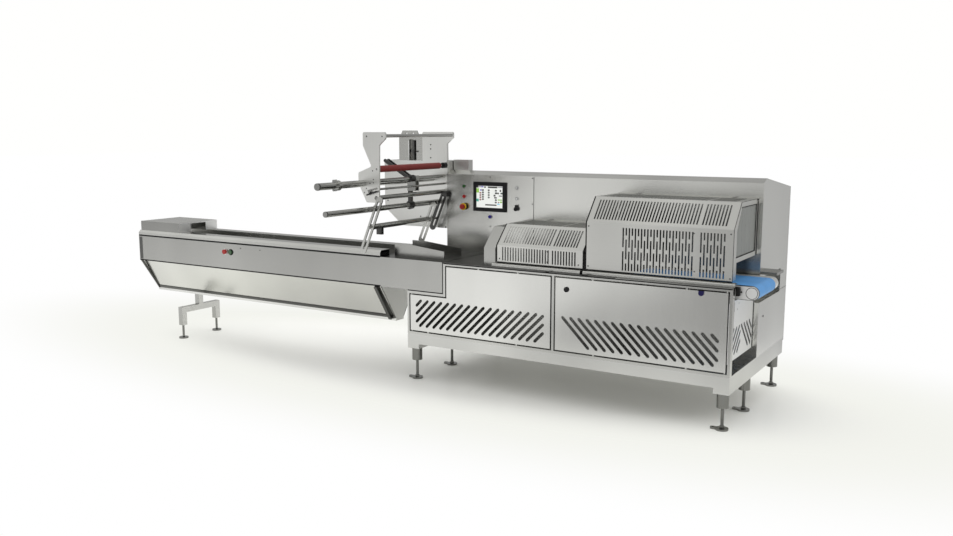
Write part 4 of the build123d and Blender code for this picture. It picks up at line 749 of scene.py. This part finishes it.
# Reel lift in the tower: screw rod with its collar, lock knob and slide edge
ROD_PLACE = Vector((TOWER.left + 0.136, TOWER.front + 0.014, TOWER.bottom + 0.002))
ROD_RADIUS = 0.0105
ROD_TALL = 0.160
ROD_THREAD = (0.0015, 0.008)
COLLAR_PLACE = ROD_PLACE + Vector((-0.004, 0.0, 0.062))
COLLAR = (ROD_RADIUS, 0.019, 0.022)
KNOB = (0.007, 0.008)
KNOB_PLACE = (TOWER.right - 0.047, TOWER.front, TOWER.bottom + 0.073)
SLIDE_LOW = (TOWER.left + 0.094, TOWER.front - 0.003, TOWER.bottom + 0.004)
SLIDE_HIGH = (TOWER.left + 0.101, TOWER.front, TOWER.bottom + 0.158)
lift = Piece("reel_lift_rod", "machine", "dark_steel", steel_dark_and_shade)
lift.turned(thread(ROD_RADIUS, *ROD_THREAD, ROD_TALL), ROD_PLACE, UP, SOME_SIDES)
lift.turned(ring(*COLLAR), COLLAR_PLACE, UP)
lift.turned(disc(*KNOB), KNOB_PLACE, TO_FRONT)
lift.done()
slide_edge = Piece("reel_slide_edge", "machine", "stainless", chrome)
slide_edge.block(SLIDE_LOW, SLIDE_HIGH, EASED)
slide_edge.done()

# Dark rims round the free ends of the spindle and the lower shaft
RIM_WIDE = 0.003
RIM_TALL = 0.010
RIM_BACK = 0.0104
SPINDLE_TIP_RADIUS = 0.0245
SHAFT_RADIUS = LOWER_SHAFT.right - LOWER_SHAFT.across(0.5)
for name, body, bar, radius in (("spindle_rim", "reel_spindle", SPINDLE, SPINDLE_TIP_RADIUS),
                                ("shaft_rim", "machine", LOWER_SHAFT, SHAFT_RADIUS)):
    rim = Piece(name, body, "dark_steel", steel_dark_and_shade)
    rim.turned(ring(radius - RIM_WIDE, radius + LINE_PROUD, RIM_TALL),
               (bar.across(0.5), bar.front + RIM_BACK, bar.up(0.5)), TO_FRONT)
    rim.done()

# Light buffers in the gaps over and under the doors, at places from each door's left
DOOR_GAP = 0.010
BUFFER_HALF = 0.006
BUFFER_DEPTH = 0.012
BUFFER_PLAY = 0.001
RAIL_TALL = 0.028
DOOR_TOP = RAILS.top - RAIL_TALL
DOOR_FOOT = RAILS.bottom + RAIL_TALL
BUFFERS = {"left_door": (LEFT_DOOR, (0.591, 0.910), (0.156, 0.901)),
           "right_door": (RIGHT_DOOR, (0.272, 0.908), (0.283, 0.917))}
for body, (door, high_places, low_places) in BUFFERS.items():
    buffers = Piece(f"{body}_buffers", body, "stainless", steel_along)
    for places, low, high in ((high_places, DOOR_TOP, DOOR_TOP + DOOR_GAP - BUFFER_PLAY),
                              (low_places, DOOR_FOOT - DOOR_GAP + BUFFER_PLAY, DOOR_FOOT)):
        for place in places:
            x = door.left + place
            buffers.block((x - BUFFER_HALF, door.front, low),
                          (x + BUFFER_HALF, door.front + BUFFER_DEPTH, high))
    buffers.done()

# Painted shade: dark strips on the pan's slopes, as (place, wide, deep), along its foot, and at the side
# panel's left end
FLANGE = 0.008
LEFT_SHADE_STRIP = 0.012
FOOT_SHADE_STRIP = 0.028
FOOT_SHADE_STRIP_DEEP = 0.003
SLOPE_SHADE_STRIPS = ((PAN.left + FLANGE + LEFT_SHADE_STRIP / 2, LEFT_SHADE_STRIP, 0.014),
               (PAN.right - FLANGE - 0.036, 0.028, 0.044), (PAN.right - 0.002, 0.004, 0.006))
PAN_EDGE = (PAN.back - PAN.deep(0.5) - 0.008, PAN.top - 0.001)
PAN_FOOT = (0.050, PAN.bottom + 0.021)
SIDE_SHADE_STRIP_LOW = (INFEED_SIDES.left + 0.006, INFEED_SIDES.front - LINE_PROUD, INFEED_SIDES.bottom + 0.012)
SIDE_SHADE_STRIP_HIGH = (INFEED_SIDES.left + 0.046, INFEED_SIDES.front, INFEED_SIDES.top - 0.012)
pan_shade_strips = Piece("pan_shade_strips", "machine", "dark_steel", steel_dark_and_shade)
for out in (-1, 1):
    edge = Vector((PAN.deep(0.5) + out * PAN_EDGE[0], PAN_EDGE[1]))
    foot = Vector((PAN.deep(0.5) + out * PAN_FOOT[0], PAN_FOOT[1]))
    for x, wide, deep in SLOPE_SHADE_STRIPS:
        pan_shade_strips.bar((x, *edge), (x, *foot), wide, deep)
    rise = edge - foot
    strip = foot + rise.normalized() * (FOOT_SHADE_STRIP / 2)
    pan_shade_strips.bar((PAN.left + FLANGE, *strip), (PAN.right - FLANGE, *strip), FOOT_SHADE_STRIP_DEEP, FOOT_SHADE_STRIP,
                 atan2(-rise.x, rise.y))
pan_shade_strips.block(SIDE_SHADE_STRIP_LOW, SIDE_SHADE_STRIP_HIGH)
pan_shade_strips.done()

# Black marks: a painted shadow line along the cabinet's top edge, painted shadow under the guards, and black
# blocks at the top edge and between the guards' rails
TOP_SHADOW_LINE = 0.007
TOP_SHADOW_LINE_IN = 0.002
STOP_BLOCKS = ((SMALL_FRONT.left + 0.424, 0.026), (LARGE_FRONT.left + 0.006, 0.042))
STOP_DEEP = 0.003
STOP_BELOW = 0.002
STOP_ABOVE = 0.006
UNDER_GUARD_SHADOW_DEEP = 0.008
UNDER_GUARD_SHADOW_TALL = 0.004
RAIL_SPLIT = (LARGE_FRONT.left - 0.016, LARGE_FRONT.left - 0.010)
RAIL_SPLIT_PROUD = 0.001
shadow_lines_and_black_marks = Piece("cabinet_shadow_lines_and_black_marks", "machine", "black_plastic", matte_black_and_shadow)
# Painted shadow line along the rails' front, just under the deck
shadow_lines_and_black_marks.block((DECK.left + TOP_SHADOW_LINE_IN, RAILS.front - LINE_PROUD, DECK.bottom - TOP_SHADOW_LINE),
            (GUARD_RAILS.right - TOP_SHADOW_LINE_IN, RAILS.front, DECK.bottom))
for start, wide in STOP_BLOCKS:
    shadow_lines_and_black_marks.block((start, RAILS.front - STOP_DEEP, DECK.bottom - STOP_BELOW),
                (start + wide, RAILS.front, DECK.bottom + STOP_ABOVE))
# Painted shadow under each guard, on top of the guard rails
for guard in (SMALL_FRONT, LARGE_FRONT):
    shadow_lines_and_black_marks.block((guard.left, guard.front - UNDER_GUARD_SHADOW_DEEP, GUARD_RAILS.top),
                (guard.right, guard.back, GUARD_RAILS.top + UNDER_GUARD_SHADOW_TALL))
shadow_lines_and_black_marks.block((RAIL_SPLIT[0], GUARD_RAILS.front - RAIL_SPLIT_PROUD, GUARD_RAILS.bottom),
            (RAIL_SPLIT[1], GUARD_RAILS.back, GUARD_RAILS.top + RAIL_SPLIT_PROUD))

# Clamp block, drive hole and drum ring of the discharge conveyor
DRIVE_HOLE = (RAILS.right + 0.027, BELT_FRAME.front, BELT_FRAME.top - 0.038)
DRUM_RADIUS = 0.045
DRUM = (BELT.right - DRUM_RADIUS, BELT_FRAME.front, BELT.bottom + DRUM_RADIUS)
DRUM_RING = (0.0335, 0.0365, LINE_PROUD)
CLAMP_LOW = (RAILS.right + 0.001, BELT_FRAME.front - 0.036, BELT_FRAME.bottom + 0.024)
CLAMP_HIGH = (RAILS.right + 0.022, BELT_FRAME.front - 0.002, BELT_FRAME.top - 0.008)
CLAMP_EASED = 0.002
shadow_lines_and_black_marks.block(CLAMP_LOW, CLAMP_HIGH, CLAMP_EASED)
shadow_lines_and_black_marks.turned(disc(DOT_RADIUS, LINE_PROUD), DRIVE_HOLE, TO_FRONT, SOME_SIDES)
shadow_lines_and_black_marks.turned(ring(*DRUM_RING), DRUM, TO_FRONT, MANY_SIDES)

# Fine lines and dots on the discharge end, the wall's panel seam and its service seam
END_LINES = (END_PANEL.front + 0.108, END_PANEL.front + 0.118)
END_LINE_WIDE = 0.002
END_LINE_HEIGHTS = (END_PANEL.top - 0.069, END_PANEL.top - 0.011)
END_DOTS = ((0.186, -0.061), (0.214, -0.027))
END_DOT_RADIUS = 0.0035
END_PROUD = END_PANEL.right + LINE_PROUD
END_STRIP_LOW = (END_PANEL.right, END_PANEL.back - 0.012, END_PANEL.bottom)
END_STRIP_HIGH = (END_PROUD, END_PANEL.back - 0.001, END_PANEL.top - 0.030)
PANEL_SEAM = WALL.left + 0.775
PANEL_SEAM_HALF = 0.0016
PANEL_SEAM_TOP = SCREEN.top + 0.050
SERVICE_SEAM_LOW = (WALL.right, WALL.front + 0.368, DECK.bottom - 0.170)
SERVICE_SEAM_HIGH = (WALL.right + LINE_PROUD, WALL.back - 0.001, DECK.bottom - 0.168)
for y in END_LINES:
    shadow_lines_and_black_marks.block((END_PANEL.right, y, END_LINE_HEIGHTS[0]),
                (END_PROUD, y + END_LINE_WIDE, END_LINE_HEIGHTS[1]))
for y, z in END_DOTS:
    shadow_lines_and_black_marks.turned(disc(END_DOT_RADIUS, LINE_PROUD), (END_PANEL.right, END_PANEL.front + y, END_PANEL.top + z),
                 TO_RIGHT, FEW_SIDES)
shadow_lines_and_black_marks.block(END_STRIP_LOW, END_STRIP_HIGH)
shadow_lines_and_black_marks.block((PANEL_SEAM - PANEL_SEAM_HALF, WALL.front - LINE_PROUD, DECK.top),
            (PANEL_SEAM + PANEL_SEAM_HALF, WALL.front, PANEL_SEAM_TOP))
shadow_lines_and_black_marks.block(SERVICE_SEAM_LOW, SERVICE_SEAM_HIGH)

# Infeed: shadow gaps under the rails and panels, round the notch, and in the rails' right ends
GAP_DEEP = 0.006
RAIL_GAP = (INFEED_SIDES.top - 0.005, INFEED_SIDES.top + 0.008)
PANEL_GAP = (INFEED_SIDES.bottom - 0.001, INFEED_SIDES.bottom + 0.009)
PANEL_GAP_IN = 0.001
NOTCH_GAP = 0.008
NOTCH_LEFT = RAILS.left + 0.002
NOTCH_BACK = 0.001
BLIND_END = (0.030, 0.026)
BLIND_SIDE = 0.004
BLIND_HEIGHTS = (INFEED_SIDES.top + 0.001, INFEED_RAILS.top - 0.022)
for side, out in ((INFEED_SIDES.front, -1), (INFEED_SIDES.back, 1)):
    low, high = sorted((side + out * LINE_PROUD, side - out * GAP_DEEP))
    shadow_lines_and_black_marks.block((INFEED_RAILS.left, low, RAIL_GAP[0]), (INFEED_RAILS.right, high, RAIL_GAP[1]))
    shadow_lines_and_black_marks.block((INFEED_SIDES.left + PANEL_GAP_IN, low, PANEL_GAP[0]), (PAN.right, high, PANEL_GAP[1]))
notch_front = RAILS.front + NOTCH_BACK
shadow_lines_and_black_marks.block((INFEED.right, notch_front, INFEED_SIDES.bottom),
            (INFEED.right + NOTCH_GAP, RAILS.back, DECK.bottom))
shadow_lines_and_black_marks.block((NOTCH_LEFT, notch_front, INFEED_SIDES.bottom - NOTCH_GAP),
            (INFEED.right + NOTCH_GAP, RAILS.back, INFEED_SIDES.bottom))
for low, high in ((INFEED_RAILS.front, TROUGH.front), (TROUGH.back, INFEED_RAILS.back)):
    shadow_lines_and_black_marks.block((INFEED_RAILS.right - BLIND_END[0], low + BLIND_SIDE, BLIND_HEIGHTS[0]),
                (INFEED_RAILS.right - BLIND_END[1], high - BLIND_SIDE, BLIND_HEIGHTS[1]))
shadow_lines_and_black_marks.done()

# Screws of the control panel, the film housing's back and the wall's end
SEAM_SCREW = PANEL_SEAM - 0.011
PANEL_SCREWS = ((SCREEN.across(0.5), SCREEN.top + 0.037), (SCREEN.across(0.5), SCREEN.bottom - 0.115),
                (SEAM_SCREW, SCREEN.top + 0.038), (SEAM_SCREW, SCREEN.top - 0.154))
HOUSING_SCREWS = [(HOUSING.across(a), HOUSING.up(b)) for a in (0.06, 0.5, 0.94) for b in (0.22, 0.95)]
END_SCREW = (WALL.right, WALL.front + 0.127, DECK.bottom - 0.290)
PANEL_HEAD = (0.005, 0.002)
HOUSING_HEAD = (0.006, 0.003)
END_HEAD = (0.007, 0.003)
fixing_screws = Piece("fixing_screws", "machine", "stainless", steel_dark_and_shade)
for x, z in PANEL_SCREWS:
    fixing_screws.turned(screw_head(*PANEL_HEAD), (x, WALL.front, z), TO_FRONT, FEW_SIDES)
for x, z in HOUSING_SCREWS:
    fixing_screws.turned(screw_head(*HOUSING_HEAD), (x, HOUSING.back, z), TO_BACK, FEW_SIDES)
fixing_screws.turned(screw_head(*END_HEAD), END_SCREW, TO_RIGHT, SOME_SIDES)
fixing_screws.done()

# Caps on the infeed rails' left ends, cut back at the rails' chamfer
END_CAP = 0.003
CHAMFER = 0.018
end_caps = Piece("rail_end_caps", "machine", "stainless", steel_upright)
for outer, inner in ((INFEED_RAILS.front, TROUGH.front), (INFEED_RAILS.back, TROUGH.back)):
    inward = CHAMFER if inner > outer else -CHAMFER
    for edge, high in ((outer, INFEED_RAILS.top - CHAMFER), (outer + inward, INFEED_RAILS.top)):
        front, back = sorted((edge, inner))
        end_caps.block((INFEED_RAILS.left - END_CAP, front, INFEED_SIDES.top),
                       (INFEED_RAILS.left, back, high))
end_caps.done()

# Guards: seals on the left profile, lines on the right one, foot seals and screws as (from left, from foot)
GUARDS = {
    "small_guard": (SMALL_FRONT, SMALL_TOP, ((0.018, 0.021), (0.394, 0.023), (0.629, 0.021),
                                             (0.394, 0.095))),
    "large_guard": (LARGE_FRONT, LARGE_TOP, ((0.013, 0.021), (0.013, 0.288), (0.959, 0.288), (0.963, 0.014),
                                             (0.738, 0.042), (0.728, 0.280))),
}
EDGE_SEAL = 0.009
SEAL_DEEP = 0.008
SEAL_CREST = 0.002
EDGE_LINE = 0.003
LINE_THICK = 0.0016
LINE_IN = 0.0045
LINE_CREST = 0.003
CREST_DROP = 0.005
FOOT_SEAL = 0.003
FOOT_SEAL_IN = 0.004
GUARD_HEAD = (0.005, 0.0025)
for body, (front, top, screws) in GUARDS.items():
    edge_seal = Piece(f"{body}_edge_seal", body, "black_plastic", matte_black_and_shadow)
    crest_height = top.top - CREST_DROP
    x = front.left - EDGE_SEAL / 2
    fold = (x, front.front + SEAL_DEEP / 2, front.top)
    crest = (x, top.front + SEAL_CREST, crest_height)
    edge_seal.bar((x, front.front + SEAL_DEEP / 2, front.bottom), fold, SEAL_DEEP, EDGE_SEAL)
    edge_seal.bar(fold, crest, EDGE_SEAL, SEAL_DEEP)
    edge_seal.bar(crest, (x, top.back - SEAL_DEEP / 2, crest_height), EDGE_SEAL, SEAL_DEEP)
    x = front.right + LINE_THICK / 2
    fold = (x, front.front + LINE_IN, front.top)
    edge_seal.bar((x, front.front + LINE_IN, front.bottom), fold, EDGE_LINE, LINE_THICK)
    edge_seal.bar(fold, (x, top.front + LINE_CREST, crest_height), LINE_THICK, EDGE_LINE)
    edge_seal.block((front.left + FOOT_SEAL_IN, front.back, front.bottom - FOOT_SEAL),
                    (front.right - FOOT_SEAL_IN, front.back + FOOT_SEAL, front.bottom + FOOT_SEAL))
    edge_seal.done()
    corner_screws = Piece(f"{body}_screws", body, "stainless", steel_dark_and_shade)
    for dx, dz in screws:
        corner_screws.turned(screw_head(*GUARD_HEAD), (front.left + dx, front.front, front.bottom + dz),
                             TO_FRONT, FEW_SIDES)
    corner_screws.done()

# Gasket on three sides of the guard's window, and a line down the rear edge of that end
GASKET = 0.004
GASKET_IN = 0.009
GASKET_LINE = ((WINDOW.deep(0.242), WINDOW.top - GASKET_IN),
               (WINDOW.back - GASKET_IN, WINDOW.top - GASKET_IN),
               (WINDOW.back - GASKET_IN, WINDOW.bottom + GASKET_IN),
               (WINDOW.front + 2 * GASKET_IN, WINDOW.bottom + GASKET_IN))
REAR_LINE = 0.006
REAR_LINE_HEIGHTS = (WINDOW.bottom - 0.023, WINDOW.top + 0.010)
gasket_x = LARGE_FRONT.right + LINE_THICK / 2
rear_y = WINDOW_END.back - REAR_LINE / 2
gasket = Piece("window_gasket", "large_guard", "black_plastic", matte_black_and_shadow)
for start, end in zip(GASKET_LINE, GASKET_LINE[1:]):
    gasket.bar((gasket_x, *start), (gasket_x, *end), GASKET, GASKET)
gasket.bar((gasket_x, rear_y, REAR_LINE_HEIGHTS[0]), (gasket_x, rear_y, REAR_LINE_HEIGHTS[1]),
           REAR_LINE, LINE_THICK)
gasket.done()

# Threads on the levelling screws
NUT_TOP = 0.026
SLEEVE_FOOT = BASE.bottom - 0.093
LEG_INSET = 0.050
LEG_THREAD = (0.0098, 0.0014, 0.006)
LEG_SIDES = 14
LEG_ROWS = (BASE.front + LEG_INSET, WALL.front - 0.075, WALL.back - 0.095)
LEG_PLACES = [(x, y) for x in (BASE.left + LEG_INSET, BASE.right - LEG_INSET) for y in LEG_ROWS]
leg_threads = Piece("leg_threads", "machine", "stainless", steel_leg)
for x, y in LEG_PLACES:
    leg_threads.turned(thread(*LEG_THREAD, SLEEVE_FOOT - NUT_TOP), (x, y, NUT_TOP), UP, LEG_SIDES)
leg_threads.done()

# Floor: white to the camera away from the machine's shadow, and dimmer in parts to what the steel mirrors.
# Each ramp gives where it starts and ends, in metres from the middle, and the values there.
FLOOR_HALF = 60.0
FLOOR_MATTE = (0.95, 0.95, 0.92)
FLOOR_GRAIN = 3.0
FLOOR_ROUGHNESS = 0.85
FLOOR_SPREAD = 0.1
FLOOR_TINT = (0.895, 0.90, 0.85)
PURE_WHITE = (1.0, 1.0, 1.0)
SHEEN_SHARE = 0.06
SHEEN_ROUGHNESS = 0.12
SHADOW_MIDDLE = (0.35, 0.3)
SHADOW_SQUEEZE = (0.32, 0.90)
SHADOW_FADE = (0.66, 1.12)
TINT_FADE = (0.95, 2.0)
NEAR_AHEAD = (1.1, 2.6)
NEAR_LEFT = (-0.15, 0.45, 0.0, 0.62)
NEAR_RIGHT = (2.6, 4.0, 1.0, 0.0)
FAR_AHEAD = (7.0, 12.0)
FAR_BEARINGS = ((0.34, 0.47, 0.46, 0.0), (0.53, 0.62, 0.0, 0.55))
BEHIND = (1.0, 2.5)
BEHIND_RIGHT = (2.4, 3.4, 0.0, 0.45)
FAR_LEFT = (3.0, 8.5, 0.0, 0.08)
DIMMEST_FLOOR = 0.1

floor_mesh = bpy.data.meshes.new("floor")
build = bmesh.new()
bmesh.ops.create_grid(build, x_segments=1, y_segments=1, size=FLOOR_HALF)
build.to_mesh(floor_mesh)
build.free()
floor = bpy.data.objects.new("floor", floor_mesh)
scene.collection.objects.link(floor)
floor_material, m = new_material("floor")
grain = m.noise(m.place(), FLOOR_GRAIN, 2.0)
x, y, z = m.split(m.place())
ahead, leftward = 0.0 - y, 0.0 - x
far = (((x - SHADOW_MIDDLE[0]) * SHADOW_SQUEEZE[0]) ** 2.0 +
       ((y - SHADOW_MIDDLE[1]) * SHADOW_SQUEEZE[1]) ** 2.0) ** 0.5
bearing = leftward / ahead.kept_above(1.0)
near = ahead.ramp(*NEAR_AHEAD) * x.ramp(*NEAR_LEFT) * x.ramp(*NEAR_RIGHT)
distant = ahead.ramp(*FAR_AHEAD) * (bearing.ramp(*FAR_BEARINGS[0]) + bearing.ramp(*FAR_BEARINGS[1]))
behind = y.ramp(*BEHIND) * x.ramp(*BEHIND_RIGHT)
mirrored = 1.0 - behind - leftward.ramp(*FAR_LEFT) - near - distant
seen = m.ray("Is Camera Ray")
tint = m.blend(far.ramp(*TINT_FADE), colour(FLOOR_TINT), colour(PURE_WHITE))
light = seen + (1.0 - seen) * mirrored.kept_above(DIMMEST_FLOOR)
white = m.node("ShaderNodeEmission", None, {0: tint, 1: light})
matte = m.surface({"Base Color": colour(FLOOR_MATTE), "Roughness": grain * FLOOR_SPREAD + FLOOR_ROUGHNESS,
                   "Specular IOR Level": 0.0})
sheen = m.node("ShaderNodeBsdfGlossy", None, {"Color": colour(PURE_WHITE), "Roughness": SHEEN_ROUGHNESS})
m.finish(m.mixed(far.ramp(*SHADOW_FADE), m.mixed(SHEEN_SHARE, matte, sheen), white))
floor.data.materials.append(floor_material)
floor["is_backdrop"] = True

# Studio: white to the camera, and a greyer room in the reflections. The ramps run over the view's direction.
STUDIO_WHITE = (1.0, 1.0, 0.99)
STUDIO_LEVEL = 0.86
CEILING = (0.4, 1.0, 1.0, 0.86)
REAR_DIM = (0.1, 0.7, 0.0, 0.55)
RIGHT_DIM = (0.2, 0.9, 0.0, 0.25)
BAND_AHEAD = (0.0, 0.7)
BAND_FOOT = (0.0, 0.10)
BAND_TOP = (0.35, 0.62, 1.0, 0.0)
BAND_DIM = 0.72
DIMMEST_ROOM = 0.05

world = bpy.data.worlds.new("studio")
scene.world = world
world.use_nodes = True
m = Maker(world.node_tree)
x, y, z = m.split(m.node("ShaderNodeTexCoord", None, None, "Generated"))
seen, glossy = m.ray("Is Camera Ray"), m.ray("Is Glossy Ray")
band = (0.0 - y).ramp(*BAND_AHEAD) * z.ramp(*BAND_FOOT) * z.ramp(*BAND_TOP)
room = z.ramp(*CEILING) - y.ramp(*REAR_DIM) - x.ramp(*RIGHT_DIM) - band * BAND_DIM
level = glossy * room.kept_above(DIMMEST_ROOM) + (1.0 - glossy) * STUDIO_LEVEL
m.finish(m.node("ShaderNodeBackground", None, {0: colour(STUDIO_WHITE), 1: seen + (1.0 - seen) * level}),
         "ShaderNodeOutputWorld")

# One large lamp that throws soft shade but isn't mirrored in the steel
LAMP_PLACE = Vector((-0.5, 1.6, 5.5))
LAMP_SIZE = (9.0, 4.0)
LAMP_POWER = 150.0
lamp = bpy.data.lights.new("top_light", "AREA")
lamp.shape = "RECTANGLE"
lamp.size, lamp.size_y = LAMP_SIZE
lamp.energy = LAMP_POWER
top_light = bpy.data.objects.new("top_light", lamp)
top_light.location = LAMP_PLACE
top_light.rotation_euler = (-LAMP_PLACE).to_track_quat("-Z", "Y").to_euler()
top_light.visible_glossy = False
scene.collection.objects.link(top_light)

# The photo's view
camera = bpy.data.objects.new("camera", bpy.data.cameras.new("camera"))
camera.data.lens = CAMERA_LENS
camera.data.sensor_width = SENSOR_WIDTH
camera.location = CAMERA_PLACE
camera.rotation_euler = [radians(angle) for angle in CAMERA_TURN]
scene.collection.objects.link(camera)
scene.camera = camera
scene.view_settings.view_transform = "Standard"

low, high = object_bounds()
